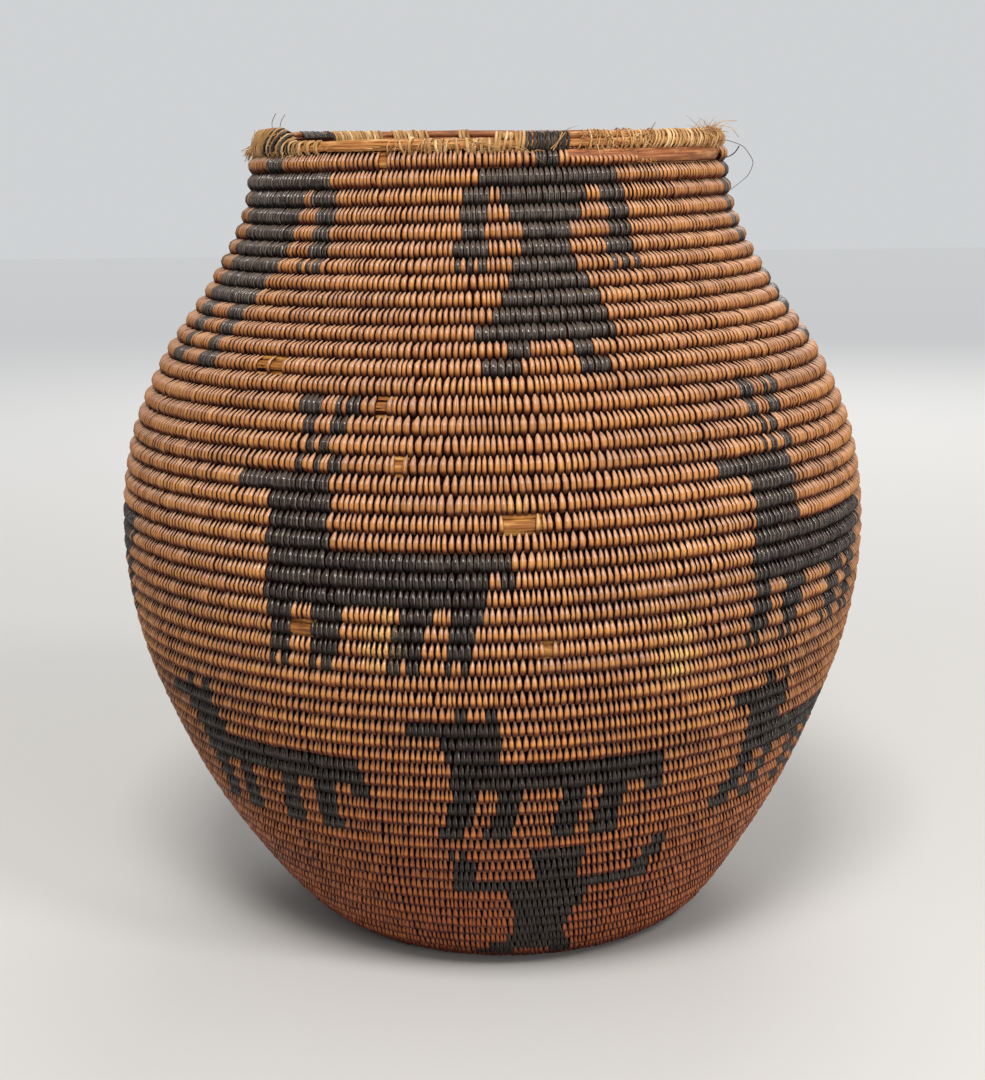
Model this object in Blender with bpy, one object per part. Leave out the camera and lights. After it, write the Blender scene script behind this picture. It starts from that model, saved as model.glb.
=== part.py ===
"""Tall coiled basket with a wide belly and a narrower mouth.

One long coil starts at a small knot in the middle of the base, winds outward as a
flat disc, turns up into the wall and climbs, turn upon turn, to the mouth. Every
turn shows as one course. The coil is built as the lengths it was wound in, and
the worn last turn at the mouth is built as its three bare rods with the wraps
that are left on them. Metres, +Z up, standing on Z = 0, front towards -Y.
"""
import math

import bmesh
import bpy
import numpy as np

# Overall form
BELLY_RADIUS = 0.138
BODY_HEIGHT = 0.2935
FLAT_BASE_SHARE = 0.450
# The outer skin from the edge of the flat base to the mouth: heights as shares of
# the body height, radii as shares of the belly radius
SKIN_HEIGHT_SHARES = (0.022, 0.054, 0.106, 0.196, 0.285, 0.374, 0.464,
                      0.553, 0.643, 0.732, 0.821, 0.911, 1.000)
SKIN_RADIUS_SHARES = (0.547, 0.609, 0.688, 0.804, 0.890, 0.958, 0.994,
                      0.997, 0.962, 0.877, 0.748, 0.650, 0.623)
SKIN_STEPS_PER_SPAN = 60

# The hand-made lean: the foot sits a little to one side of the belly, and the mouth
# rides a little higher at the back
FOOT_OFFSET = 0.0047
LEAN_HEIGHT_SHARE = 0.45
MOUTH_TILT = 0.012
TILT_START_SHARE = 0.55

# The coil
WALL_THICKNESS = 0.0066
TURN_GAP = 0.0006
BUTT_GAP = 0.0004
KNOT_RADIUS = 0.0050
BASE_TURNS = 10.5
WALL_TURNS = 54
FRONT_SHARE = 0.61
RIM_START_ANGLE = math.radians(-129.0)
SEGMENTS_PER_TURN = 24
CENTRE_SEGMENTS_PER_TURN = 10
CENTRE_TURNS = 4.5
WALL_LENGTHS = 18
LENGTH_SHIFT_SEGMENTS = 3
LENGTH_SHIFT_CYCLE = 4
BASE_FLAT_SHARE = 0.50
# The coil is thinner near the foot and thickest at the shoulder: its height at some
# turn counts, as shares of the mean height
COIL_HEIGHT_TURNS = (0, 10, 13, 30, 40, 44, 49.5, 54, 58, 66)
COIL_HEIGHT_SHARES = (1.118, 1.008, 0.933, 0.933, 0.981, 1.027, 1.135, 1.047, 1.003, 0.979)
CLIMB_STEPS_PER_TURN = 40

# The bare bundle at the mouth
ROD_RADIUS = 0.00135
ROD_GAP = 0.0003
ROD_SIDES = 6
TAPER_START_TURN = 0.62
TAPER_END_SHARE = 0.40
RIM_END_GAP_SHARE = 1 / 1200
WRAP_THICKNESS = 0.0005
WRAP_CLEARANCE = 0.0003
WRAP_WAIST_SHARE = 0.55
WRAP_CROWN_SHARE = 0.42

# Where the rods and wraps of the mouth begin and end, in degrees round the mouth
# from the front, counter-clockwise seen from above
FRONT_ANGLE = math.radians(-90.0)
TOP_ROD_FRONT_SPAN = (3.0, 84.0)
TOP_ROD_BACK_SPAN = (141.0, 320.0)
WRAP_SPANS = {
    "wrap_front_pale": (4.0, 9.0),
    "wrap_front_dark": (9.6, 19.0),
    "wrap_right_pale": (26.0, 62.0),
    "wrap_back_pale_small": (185.5, 188.5),
    "wrap_back_pale_short": (197.5, 208.5),
    "wrap_back_pale_long": (212.0, 228.0),
    "wrap_back_dark": (228.6, 242.0),
    "wrap_left_pale": (262.0, 293.0),
    "wrap_left_dark": (293.6, 304.5),
    "wrap_end_pale": (305.1, 319.5),
}
# The bare rod lying in the turn below the mouth, right of the front
BARE_ROD_SPAN = (20.0, 86.0)
BARE_ROD_RADIUS = 0.0013
BARE_ROD_RISE = 0.0007
BARE_ROD_SEAT = 0.0001

# Colours of willow, of dark splints and of bare rods
WILLOW = (0.42, 0.21, 0.085, 1.0)
WILLOW_PALE = (0.60, 0.40, 0.17, 1.0)
DEVILS_CLAW = (0.035, 0.028, 0.024, 1.0)
BARE_ROD = (0.46, 0.22, 0.09, 1.0)
ROUGHNESS = 0.55

HALF_WALL = WALL_THICKNESS / 2
HALF_TURN_SHARE = 0.5
SHOULDER_SHARE = 0.66


def skin_curve():
    """The outer skin as a dense curve: distance along it, radius and height."""
    flat_radius = FLAT_BASE_SHARE * BELLY_RADIUS
    knots = [(flat_radius, 0.0)]
    for height_share, radius_share in zip(SKIN_HEIGHT_SHARES, SKIN_RADIUS_SHARES):
        knots.append((radius_share * BELLY_RADIUS, height_share * BODY_HEIGHT))
    knots = np.array(knots)
    spans = np.linalg.norm(np.diff(knots, axis=0), axis=1)
    tangents = np.zeros_like(knots)
    for i in range(1, len(knots) - 1):
        before = (knots[i] - knots[i - 1]) / spans[i - 1]
        after = (knots[i + 1] - knots[i]) / spans[i]
        tangents[i] = (before * spans[i] + after * spans[i - 1]) / (spans[i] + spans[i - 1])
    tangents[0] = (1.0, 0.0)
    tangents[-1] = (knots[-1] - knots[-2]) / spans[-1]
    points = [(0.0, 0.0)]
    flat_steps = SKIN_STEPS_PER_SPAN * 2
    points += [(flat_radius * i / flat_steps, 0.0) for i in range(1, flat_steps)]
    for i, span in enumerate(spans):
        for j in range(SKIN_STEPS_PER_SPAN):
            t = j / SKIN_STEPS_PER_SPAN
            start, end = 2 * t**3 - 3 * t**2 + 1, -2 * t**3 + 3 * t**2
            leave, arrive = t**3 - 2 * t**2 + t, t**3 - t**2
            points.append(tuple(start * knots[i] + end * knots[i + 1]
                                + span * (leave * tangents[i] + arrive * tangents[i + 1])))
    points.append(tuple(knots[-1]))
    points = np.array(points)
    along = np.concatenate([[0.0], np.cumsum(np.linalg.norm(np.diff(points, axis=0), axis=1))])
    return along, points[:, 0], points[:, 1]


ALONG, SKIN_RADIUS, SKIN_HEIGHT = skin_curve()
SKIN_LENGTH = float(ALONG[-1])
RADIAL_SLOPE = np.gradient(SKIN_RADIUS, ALONG)
HEIGHT_SLOPE = np.gradient(SKIN_HEIGHT, ALONG)
flat = ALONG <= FLAT_BASE_SHARE * BELLY_RADIUS - BELLY_RADIUS / SKIN_STEPS_PER_SPAN
RADIAL_SLOPE[flat], HEIGHT_SLOPE[flat] = 1.0, 0.0

START_ALONG = KNOT_RADIUS
TURNS_TO_RIM = BASE_TURNS + WALL_TURNS


def climb():
    """The coil's centre line along the skin at a row of turn counts. All turns, with half
    a turn before the first centre and above the last, fill the skin's length."""
    last = TURNS_TO_RIM + 2
    turns = np.linspace(-1, last, int((last + 1) * CLIMB_STEPS_PER_TURN) + 1)
    heights = np.interp(turns, COIL_HEIGHT_TURNS, COIL_HEIGHT_SHARES)
    climbed = np.concatenate([[0.0], np.cumsum((heights[1:] + heights[:-1]) / 2)])
    climbed -= np.interp(-HALF_TURN_SHARE, turns, climbed)
    room = SKIN_LENGTH - START_ALONG - TURN_GAP / 2
    scale = room / np.interp(TURNS_TO_RIM + FRONT_SHARE, turns, climbed)
    return turns, START_ALONG + TURN_GAP / 2 + climbed * scale


CLIMB_TURNS, CLIMB_ALONG = climb()


def angle_of(turn):
    """The angle round the basket at a turn count; the last wall turn ends at the rim start."""
    return RIM_START_ANGLE + (turn - TURNS_TO_RIM) * math.tau


def along_of(turn):
    """The coil's centre line, as a distance along the skin, at a turn count."""
    return np.interp(turn, CLIMB_TURNS, CLIMB_ALONG)


def half_turn(turn):
    """Half the height of the coil at a turn count, without its gap."""
    return (along_of(turn + HALF_TURN_SHARE) - along_of(turn - HALF_TURN_SHARE) - TURN_GAP) / 2


def point(angle, along, out):
    """A place on the basket: angle round it, distance along the skin, and distance out
    from the middle of the wall. The lean of the foot and of the mouth are added here."""
    radius = np.interp(along, ALONG, SKIN_RADIUS)
    height = np.interp(along, ALONG, SKIN_HEIGHT)
    radial = np.interp(along, ALONG, RADIAL_SLOPE)
    rise = np.interp(along, ALONG, HEIGHT_SLOPE)
    beyond = max(along - SKIN_LENGTH, 0.0)
    size = math.hypot(radial, rise)
    radial, rise = radial / size, rise / size
    depth = out - HALF_WALL
    radius += depth * rise + beyond * radial
    height += -depth * radial + beyond * rise
    x, y = radius * math.cos(angle), radius * math.sin(angle)
    lean_height = LEAN_HEIGHT_SHARE * BODY_HEIGHT
    x += FOOT_OFFSET * max(1.0 - height / lean_height, 0.0)**3 if height > 0 else FOOT_OFFSET
    lift = max(height / BODY_HEIGHT - TILT_START_SHARE, 0.0) / (1.0 - TILT_START_SHARE)
    return x, y, height + MOUTH_TILT * y * lift**2


def new_object(name, bm, colour):
    """Close the mesh outwards, give it its own material and link it as one node."""
    bmesh.ops.recalc_face_normals(bm, faces=bm.faces)
    mesh = bpy.data.meshes.new(name)
    bm.to_mesh(mesh)
    bm.free()
    material = bpy.data.materials.new(name)
    material.use_nodes = True
    shader = material.node_tree.nodes["Principled BSDF"]
    shader.inputs["Base Color"].default_value = colour
    shader.inputs["Roughness"].default_value = ROUGHNESS
    material.diffuse_color = colour
    mesh.materials.append(material)
    obj = bpy.data.objects.new(name, mesh)
    bpy.context.scene.collection.objects.link(obj)
    return obj


def sweep(name, rings, colour, folded=False):
    """Join equal rings of points into one closed body. A folded ring runs out along one
    side and back along the other, so that its ends are closed with matching quads."""
    bm = bmesh.new()
    rows = [[bm.verts.new(p) for p in ring] for ring in rings]
    count = len(rows[0])
    for near, far in zip(rows, rows[1:]):
        for i in range(count):
            j = (i + 1) % count
            bm.faces.new((near[i], near[j], far[j], far[i]))
    for row in (rows[0], rows[-1]):
        if folded:
            for i in range(count // 2 - 1):
                bm.faces.new((row[i], row[i + 1], row[count - 2 - i], row[count - 1 - i]))
        else:
            bm.faces.new(row)
    return new_object(name, bm, colour)


def wall_section(half, thinned):
    """The wall coil's six points as (along, out) from its centre: ridges outside and
    inside, flats against the turns above and below. Thinned, its outside stands back
    and leaves room for a bare rod."""
    ridge, shoulder = HALF_WALL, SHOULDER_SHARE * HALF_WALL
    if thinned:
        ridge = shoulder = BARE_ROD_SEAT
    return ((0.0, ridge), (half, shoulder), (half, -SHOULDER_SHARE * HALF_WALL),
            (0.0, -HALF_WALL), (-half, -SHOULDER_SHARE * HALF_WALL), (-half, shoulder))


def base_section(half):
    """The base coil's six points: flats outside and inside, ridges towards its turns."""
    flat_half = BASE_FLAT_SHARE * half
    return ((-flat_half, HALF_WALL), (flat_half, HALF_WALL), (half, 0.0),
            (flat_half, -HALF_WALL), (-flat_half, -HALF_WALL), (-half, 0.0))


def from_front(turn):
    """Degrees from the front at a turn count, 0 to 360 counter-clockwise."""
    return math.degrees(angle_of(turn) - FRONT_ANGLE) % 360.0


def coil_length(name, first, last, per_turn, section_at, colour):
    """One length of coil between two turn counts, its ends drawn in by half a butt gap."""
    steps = round((last - first) * per_turn)
    rings = []
    for i in range(steps + 1):
        turn = first + i / per_turn
        angle = angle_of(turn)
        radius = np.interp(along_of(turn), ALONG, SKIN_RADIUS)
        trim = BUTT_GAP / 2 / radius
        section = section_at(turn)
        if i == 0:
            angle += trim
        if i == steps:
            angle -= trim
        rings.append([point(angle, along_of(turn) + along, out) for along, out in section])
    return sweep(name, rings, colour)


def taper(share):
    """The bundle's size along the last turn, from full to its thin end."""
    gone = max(share - TAPER_START_TURN, 0.0) / (1.0 - TAPER_START_TURN)
    return 1.0 - (1.0 - TAPER_END_SHARE) * gone


def bundle(share):
    """Rod radius and the places of outer, inner and top rod, as (along, out), from the
    foot of the last turn."""
    radius = ROD_RADIUS * taper(share)
    spacing = 2 * radius + ROD_GAP
    rise = spacing * math.sqrt(3) / 2
    return radius, {"outer": (radius, spacing / 2), "inner": (radius, -spacing / 2),
                    "top": (radius + rise, 0.0)}


def rim_place(degrees):
    """Share of the last turn, angle and foot height along the skin at degrees from the front."""
    start = math.degrees(RIM_START_ANGLE - FRONT_ANGLE)
    share = (degrees - start) / 360.0
    turn = TURNS_TO_RIM + share
    return share, angle_of(turn), along_of(turn) - half_turn(turn)


def rim_rings(span, ring_at):
    """Rings of a piece at the mouth on the same angles as the coil's own corners, so that
    they bend together. A piece's end lies on the straight run between two corners."""
    start = math.degrees(RIM_START_ANGLE - FRONT_ANGLE)
    step = 360.0 / SEGMENTS_PER_TURN
    first, last = (span[0] - start) / step, (span[1] - start) / step
    stops = [first] + [float(i) for i in range(math.floor(first) + 1, math.ceil(last))] + [last]
    rings = []
    for stop in stops:
        low = math.floor(stop)
        near = np.array(ring_at(start + low * step))
        far = np.array(ring_at(start + (low + 1) * step))
        rings.append([tuple(p) for p in near + (far - near) * (stop - low)])
    return rings


def rod_ring(angle, along, out, radius):
    turns = [math.tau * i / ROD_SIDES for i in range(ROD_SIDES)]
    return [point(angle, along + radius * math.sin(t), out + radius * math.cos(t)) for t in turns]


def rim_rod(name, which, span):
    def ring_at(degrees):
        share, angle, foot = rim_place(degrees)
        radius, places = bundle(share)
        along, out = places[which]
        return rod_ring(angle, foot + along, out, radius)
    return sweep(name, rim_rings(span, ring_at), BARE_ROD)


def rim_wrap(name, span):
    """What is left of the sewing round the bundle: an arch over the rods, open below."""
    colour = DEVILS_CLAW if name.endswith("dark") else WILLOW_PALE

    def ring_at(degrees):
        share, angle, foot = rim_place(degrees)
        radius, places = bundle(share)
        inner_half = places["outer"][1] + radius + WRAP_CLEARANCE
        inner_top = places["top"][0] + radius + WRAP_CLEARANCE
        outer_half, outer_top = inner_half + WRAP_THICKNESS, inner_top + WRAP_THICKNESS
        ring = []
        for half, top in ((outer_half, outer_top), (inner_half, inner_top)):
            side = [(0.0, half), (WRAP_WAIST_SHARE * top, half), (top, WRAP_CROWN_SHARE * half),
                    (top, -WRAP_CROWN_SHARE * half), (WRAP_WAIST_SHARE * top, -half), (0.0, -half)]
            ring += side if half == outer_half else side[::-1]
        return [point(angle, foot + along, out) for along, out in ring]
    return sweep(name, rim_rings(span, ring_at), colour, folded=True)


def start_knot():
    """The knot the coil starts from: a small rounded button with a flat underside."""
    bm = bmesh.new()
    rows = []
    for radius_share, height_share in ((0.86, 0.0), (1.0, 0.5), (0.72, 1.0)):
        row = []
        for i in range(CENTRE_SEGMENTS_PER_TURN):
            angle = angle_of(0.0) + math.tau * i / CENTRE_SEGMENTS_PER_TURN
            radius = KNOT_RADIUS * radius_share
            row.append(bm.verts.new((FOOT_OFFSET + radius * math.cos(angle),
                                     radius * math.sin(angle), WALL_THICKNESS * height_share)))
        rows.append(row)
    for low, high in zip(rows, rows[1:]):
        for i in range(len(low)):
            j = (i + 1) % len(low)
            bm.faces.new((low[i], low[j], high[j], high[i]))
    bm.faces.new(rows[0])
    bm.faces.new(rows[-1])
    return new_object("start_knot", bm, WILLOW)


def measured_gap():
    """The least distance between neighbouring turns, on points of their facing sides."""
    least = math.inf
    samples = 5
    wall_share = [SHOULDER_SHARE * (2 * i / (samples - 1) - 1) for i in range(samples)]
    for step in range(int((TURNS_TO_RIM - 1) * SEGMENTS_PER_TURN)):
        turn = step / SEGMENTS_PER_TURN
        angle = angle_of(turn)
        on_wall = turn > BASE_TURNS
        shares = wall_share if on_wall else [0.0]
        above = along_of(turn + 1) - half_turn(turn + 1)
        below = along_of(turn) + half_turn(turn)
        low = [np.array(point(angle, below, s * HALF_WALL)) for s in shares]
        high = [np.array(point(angle, above, s * HALF_WALL)) for s in shares]
        here = min(float(np.linalg.norm(a - b)) for a in low for b in high)
        if here < least:
            least, at = here, turn
    return least, at


def build():
    for obj in list(bpy.data.objects):
        bpy.data.objects.remove(obj, do_unlink=True)
    start_knot()

    # The flat base, wound outward from the knot in two lengths
    def flat_section(turn):
        return base_section(half_turn(turn))
    coil_length("base_coil_inner", 0.0, CENTRE_TURNS, CENTRE_SEGMENTS_PER_TURN,
                flat_section, WILLOW)
    coil_length("base_coil_outer", CENTRE_TURNS, BASE_TURNS, SEGMENTS_PER_TURN,
                flat_section, WILLOW)

    # The wall, one climbing coil in the lengths it was wound in
    def section_here(turn):
        below_rim = turn > TURNS_TO_RIM - 1
        room = math.degrees(math.tau / SEGMENTS_PER_TURN)
        bare = below_rim and -room < from_front(turn) - BARE_ROD_SPAN[0] < (
            BARE_ROD_SPAN[1] - BARE_ROD_SPAN[0] + room)
        return wall_section(half_turn(turn), bare)
    total = WALL_TURNS * SEGMENTS_PER_TURN
    cuts = [i * total // WALL_LENGTHS + LENGTH_SHIFT_SEGMENTS * (i % LENGTH_SHIFT_CYCLE)
            for i in range(WALL_LENGTHS)] + [total]
    for i, (first, last) in enumerate(zip(cuts, cuts[1:])):
        coil_length(f"wall_coil_{i + 1:02d}", BASE_TURNS + first / SEGMENTS_PER_TURN,
                    BASE_TURNS + last / SEGMENTS_PER_TURN, SEGMENTS_PER_TURN,
                    section_here, WILLOW)

    # The bare rod seated in the thinned part of the turn below the mouth
    def ring_at(degrees):
        share, angle, foot = rim_place(degrees)
        centre = along_of(TURNS_TO_RIM + share - 1) + BARE_ROD_RISE
        return rod_ring(angle, centre, BARE_ROD_SEAT + WRAP_CLEARANCE + BARE_ROD_RADIUS,
                        BARE_ROD_RADIUS)
    sweep("bare_rod_below_rim", rim_rings(BARE_ROD_SPAN, ring_at), BARE_ROD)

    # The worn last turn: two lower rods all the way round, the top rod in two pieces
    start = math.degrees(RIM_START_ANGLE - FRONT_ANGLE)
    whole = (start + 360.0 * RIM_END_GAP_SHARE, start + 360.0 * (1 - RIM_END_GAP_SHARE))
    rim_rod("rim_rod_outer", "outer", whole)
    rim_rod("rim_rod_inner", "inner", whole)
    rim_rod("rim_rod_top_front", "top", TOP_ROD_FRONT_SPAN)
    rim_rod("rim_rod_top_back", "top", TOP_ROD_BACK_SPAN)
    for name, span in WRAP_SPANS.items():
        rim_wrap(name, span)

    least, at = measured_gap()
    climbs = np.diff(along_of(np.arange(0, TURNS_TO_RIM))) * 1000
    print(f"a turn is {climbs.min():.2f} to {climbs.max():.2f} mm high, "
          f"skin length {SKIN_LENGTH * 1000:.1f} mm, "
          f"least gap between turns {least * 1000:.3f} mm at turn {at:.2f}")
    print("nodes", len(bpy.data.objects))


build()
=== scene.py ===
# %% [markdown]
# # A coiled basket, stitch by stitch
#
# The object is a tall jar-shaped basket. It is not woven over and under like cloth.
# One long bundle of three willow rods is wound round and round, from a knot in the
# middle of the base up to the mouth, and a thin flat splint sews every turn to the
# turn below it. What we see is almost only that sewing: some twenty thousand small
# stitches in fifty-five rows. Willow splints are tan, and the figures are sewn with
# splints of devil's claw, a seed pod that is nearly black.
#
# We could fake this with a bump texture, but every stitch stands half a millimetre
# proud, its pointed head casts a shadow on the row above, and the outline of the
# basket is scalloped by the turns. So this lesson builds each stitch as real mesh,
# with numpy, and keeps the shader for colour, grain and shine.

# %% Load the frame
import math

import bpy
import numpy as np
from mathutils import Matrix, Vector


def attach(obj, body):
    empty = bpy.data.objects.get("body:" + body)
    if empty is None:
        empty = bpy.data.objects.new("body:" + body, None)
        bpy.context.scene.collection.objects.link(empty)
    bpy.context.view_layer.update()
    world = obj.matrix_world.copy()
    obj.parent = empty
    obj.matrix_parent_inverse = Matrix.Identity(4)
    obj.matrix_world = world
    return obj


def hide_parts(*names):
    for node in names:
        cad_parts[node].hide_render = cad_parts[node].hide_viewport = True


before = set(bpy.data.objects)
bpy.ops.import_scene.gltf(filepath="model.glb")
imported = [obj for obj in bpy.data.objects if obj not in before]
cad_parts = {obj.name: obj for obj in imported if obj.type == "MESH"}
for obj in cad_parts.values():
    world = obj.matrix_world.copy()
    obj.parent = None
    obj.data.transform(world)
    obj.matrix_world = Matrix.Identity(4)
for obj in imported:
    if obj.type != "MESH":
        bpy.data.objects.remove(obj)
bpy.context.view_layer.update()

# %% [markdown]
# ## The shape of the jar
#
# A jar like this can be drawn as one curve, its skin, turned round an axis. A lathe
# (Blender's Screw or Spin) would give a smooth pot, but we need more: a way to say
# "so far round, so far along the skin, so far out from the middle of the wall" and
# get a place in space. Every rod and every stitch is then laid out in those three
# numbers, and the jar's own lean and tilt come along for free.

# %% The skin curve
MM = 0.001
BELLY_RADIUS = 0.138
BODY_HEIGHT = 0.2935
FLAT_BASE = 0.450 * BELLY_RADIUS
SKIN_HEIGHTS = (0.022, 0.054, 0.106, 0.196, 0.285, 0.374, 0.464,
                0.553, 0.643, 0.732, 0.821, 0.911, 1.000)
SKIN_RADII = (0.547, 0.609, 0.688, 0.804, 0.890, 0.958, 0.994,
              0.997, 0.962, 0.877, 0.748, 0.650, 0.623)
STEPS = 60


def skin_curve():
    knots = np.array([(FLAT_BASE, 0.0)] + [(r * BELLY_RADIUS, h * BODY_HEIGHT)
                                           for h, r in zip(SKIN_HEIGHTS, SKIN_RADII)])
    spans = np.linalg.norm(np.diff(knots, axis=0), axis=1)[:, None]
    slopes = np.diff(knots, axis=0) / spans
    tangents = np.zeros_like(knots)
    tangents[1:-1] = (slopes[:-1] * spans[1:] + slopes[1:] * spans[:-1]) / (spans[:-1] + spans[1:])
    tangents[0], tangents[-1] = (1.0, 0.0), slopes[-1]
    t = (np.arange(STEPS) / STEPS)[None, :, None]
    start, end = knots[:-1, None], knots[1:, None]
    wall = ((2 * t**3 - 3 * t**2 + 1) * start + (3 * t**2 - 2 * t**3) * end
            + spans[:, None] * ((t**3 - 2 * t**2 + t) * tangents[:-1, None]
                                + (t**3 - t**2) * tangents[1:, None]))
    flat = np.stack([np.linspace(0.0, FLAT_BASE, 2 * STEPS + 1)[:-1], np.zeros(2 * STEPS)], axis=1)
    points = np.concatenate([flat, wall.reshape(-1, 2), knots[-1:]])
    along = np.concatenate([[0.0], np.cumsum(np.linalg.norm(np.diff(points, axis=0), axis=1))])
    return along, points[:, 0], points[:, 1]


ALONG, SKIN_R, SKIN_Z = skin_curve()
SLOPE_R, SLOPE_Z = np.gradient(SKIN_R, ALONG), np.gradient(SKIN_Z, ALONG)
on_base = ALONG <= FLAT_BASE - BELLY_RADIUS / STEPS
SLOPE_R[on_base], SLOPE_Z[on_base] = 1.0, 0.0
print("skin length, mm", round(ALONG[-1] * 1000, 1))

# %% [markdown]
# Two hand-made faults make it this basket and not a lathe's: the foot stands a few
# millimetres to one side of the belly, and the mouth rides a little higher at the
# back. Both are smooth functions of height, added at the very end. The sewing under
# the base is pressed flat, as it is on any basket that has stood on the ground.

# %% From round, along and out to a place in space
WALL = 0.0066
FOOT_OFFSET, LEAN_HEIGHT = 0.0047, 0.45 * BODY_HEIGHT
MOUTH_TILT, TILT_START = 0.012, 0.55
PRESSED = 0.3


def place(angle, along, out):
    """Arrays of angle, distance along the skin and distance out from mid-wall."""
    radius, height = np.interp(along, ALONG, SKIN_R), np.interp(along, ALONG, SKIN_Z)
    go_r, go_z = np.interp(along, ALONG, SLOPE_R), np.interp(along, ALONG, SLOPE_Z)
    size = np.hypot(go_r, go_z)
    go_r, go_z = go_r / size, go_z / size
    past = np.maximum(along - ALONG[-1], 0.0)
    depth = out - WALL / 2
    radius = radius + depth * go_z + past * go_r
    height = height - depth * go_r + past * go_z
    height = np.where(height < 0.0, height * PRESSED, height)
    x, y = radius * np.cos(angle), radius * np.sin(angle)
    x = x + FOOT_OFFSET * np.clip(1.0 - height / LEAN_HEIGHT, 0.0, 1.0)**3
    lift = np.maximum(height / BODY_HEIGHT - TILT_START, 0.0) / (1.0 - TILT_START)
    return np.stack([x, y, height + MOUTH_TILT * y * lift**2], axis=-1)


def radius_at(along):
    return np.interp(along, ALONG, SKIN_R)


print("mouth, front and back, mm",
      np.round(place(np.radians([-90.0, 90.0]), ALONG[-1], 0.0) * 1000, 1).tolist())

# %% [markdown]
# ## Counting turns
#
# The winding is one spiral, so a single number, the turn count, says where we are:
# 10.5 turns make the flat base, 54 the wall, and one last turn the rim. From the
# turn count come both the angle and the distance along the skin. The coil is not
# evenly thick. It is thinnest near the foot and swells at the shoulder, where the
# maker used stouter rods, so the climb is the running sum of a thickness table.

# %% The winding
BASE_TURNS, WALL_TURNS = 10.5, 54
RIM_TURN = BASE_TURNS + WALL_TURNS
RIM_START, FRONT = math.radians(-129.0), math.radians(-90.0)
TURN_GAP, KNOT_RADIUS = 0.0006, 0.0050
FRONT_SHARE, CLIMB_STEPS = 0.61, 40
COIL_TURNS = (0, 10, 13, 30, 40, 44, 49.5, 54, 58, 66)
COIL_HEIGHTS = (1.118, 1.008, 0.933, 0.933, 0.981, 1.027, 1.135, 1.047, 1.003, 0.979)


def climb():
    turns = np.linspace(-1, RIM_TURN + 2, int((RIM_TURN + 3) * CLIMB_STEPS) + 1)
    heights = np.interp(turns, COIL_TURNS, COIL_HEIGHTS)
    climbed = np.concatenate([[0.0], np.cumsum((heights[1:] + heights[:-1]) / 2)])
    climbed -= np.interp(-0.5, turns, climbed)
    start = KNOT_RADIUS + TURN_GAP / 2
    at_mouth = np.interp(RIM_TURN + FRONT_SHARE, turns, climbed)
    return turns, start + climbed * (ALONG[-1] - start) / at_mouth


CLIMB_TURNS, CLIMB_ALONG = climb()


def angle_of(turn):
    return RIM_START + (turn - RIM_TURN) * math.tau


def along_of(turn):
    return np.interp(turn, CLIMB_TURNS, CLIMB_ALONG)


def half_height(turn):
    return (along_of(turn + 0.5) - along_of(turn - 0.5)) / 2


def turn_at(degrees, course):
    """The turn count at degrees from the front, to the right, in a course counted from the
    rim at the front and followed round from there."""
    return RIM_TURN + (degrees - math.degrees(RIM_START - FRONT)) / 360.0 - (course - 1)


print("a turn is, mm", np.round(half_height(np.array([5.0, 30.0, 50.0, 64.0])) * 2000, 2).tolist())

# %% [markdown]
# ## Where the stitches go
#
# A weaver does not measure stitches. Each new one goes into the gap between two
# stitches of the turn below, so the heads of one row sit between the feet of the
# next and the rows lock like brickwork. Where the jar widens, the gaps get too wide
# and now and then an extra stitch goes in; where it narrows, a gap is skipped. The
# loop below does just that: it keeps count of how much width it owes, and pays with
# one stitch more or less, nudging the neighbours apart or together. The locked
# zigzag between rows comes out by itself.

# %% Place every stitch
STITCH_AT = (0.03, 0.07, 0.12, 0.17, 0.22, 0.27, 0.32, 0.38, 0.43,
             0.49, 0.55, 0.61, 0.67, 0.73, 0.79, 0.84, 0.89, 0.95)
STITCH_WIDTHS = (1.60, 1.80, 1.93, 1.93, 1.87, 1.85, 1.98, 2.08, 2.00,
                 1.96, 2.08, 2.18, 2.26, 2.16, 2.05, 1.92, 1.80, 1.73)
# Shares of a step: how far the neighbours move for a skipped gap and for an extra
# stitch, where the extra stitch goes, and how uneven the hand is
SKIP_NUDGE, EXTRA_BACK, EXTRA_ON, EXTRA_AHEAD, UNEVEN = 0.3, 0.2, 0.65, 0.1, 0.03
rng = np.random.default_rng(11)


def wanted_step(turn):
    """The turn count that one stitch of the wanted width takes up."""
    height = np.interp(along_of(turn), ALONG, SKIN_Z) / BODY_HEIGHT
    return np.interp(height, STITCH_AT, STITCH_WIDTHS) * MM / (math.tau * radius_at(along_of(turn)))


def place_stitches():
    turns = [0.0]
    while turns[-1] < 1.0:
        turns.append(turns[-1] + wanted_step(turns[-1]))
    below, owed, carry = 0, 0.0, 0.0
    while turns[-1] < RIM_TURN + 1.0:
        gap = (turns[below] + turns[below + 1]) / 2 + 1.0
        below += 1
        step, wanted = gap - turns[-1], wanted_step(turns[-1])
        owed += step / wanted - 1.0
        if owed < -1.0:
            owed, carry = owed + 1.0, -SKIP_NUDGE * step
            turns[-1] += SKIP_NUDGE * step
            continue
        if owed > 1.0:
            owed, carry = owed - 1.0, EXTRA_AHEAD * step
            turns[-1] -= EXTRA_BACK * step
            turns.append(turns[-1] + EXTRA_ON * step)
        turns.append(gap + carry + rng.normal(0.0, UNEVEN) * wanted)
        carry = 0.0
    return np.array(turns)


stitch_turn = place_stitches()
count = len(stitch_turn)
spacing = np.gradient(stitch_turn) * math.tau * radius_at(along_of(stitch_turn))
print("stitches", count, "mean width, mm", round(spacing.mean() / MM, 2))

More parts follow.
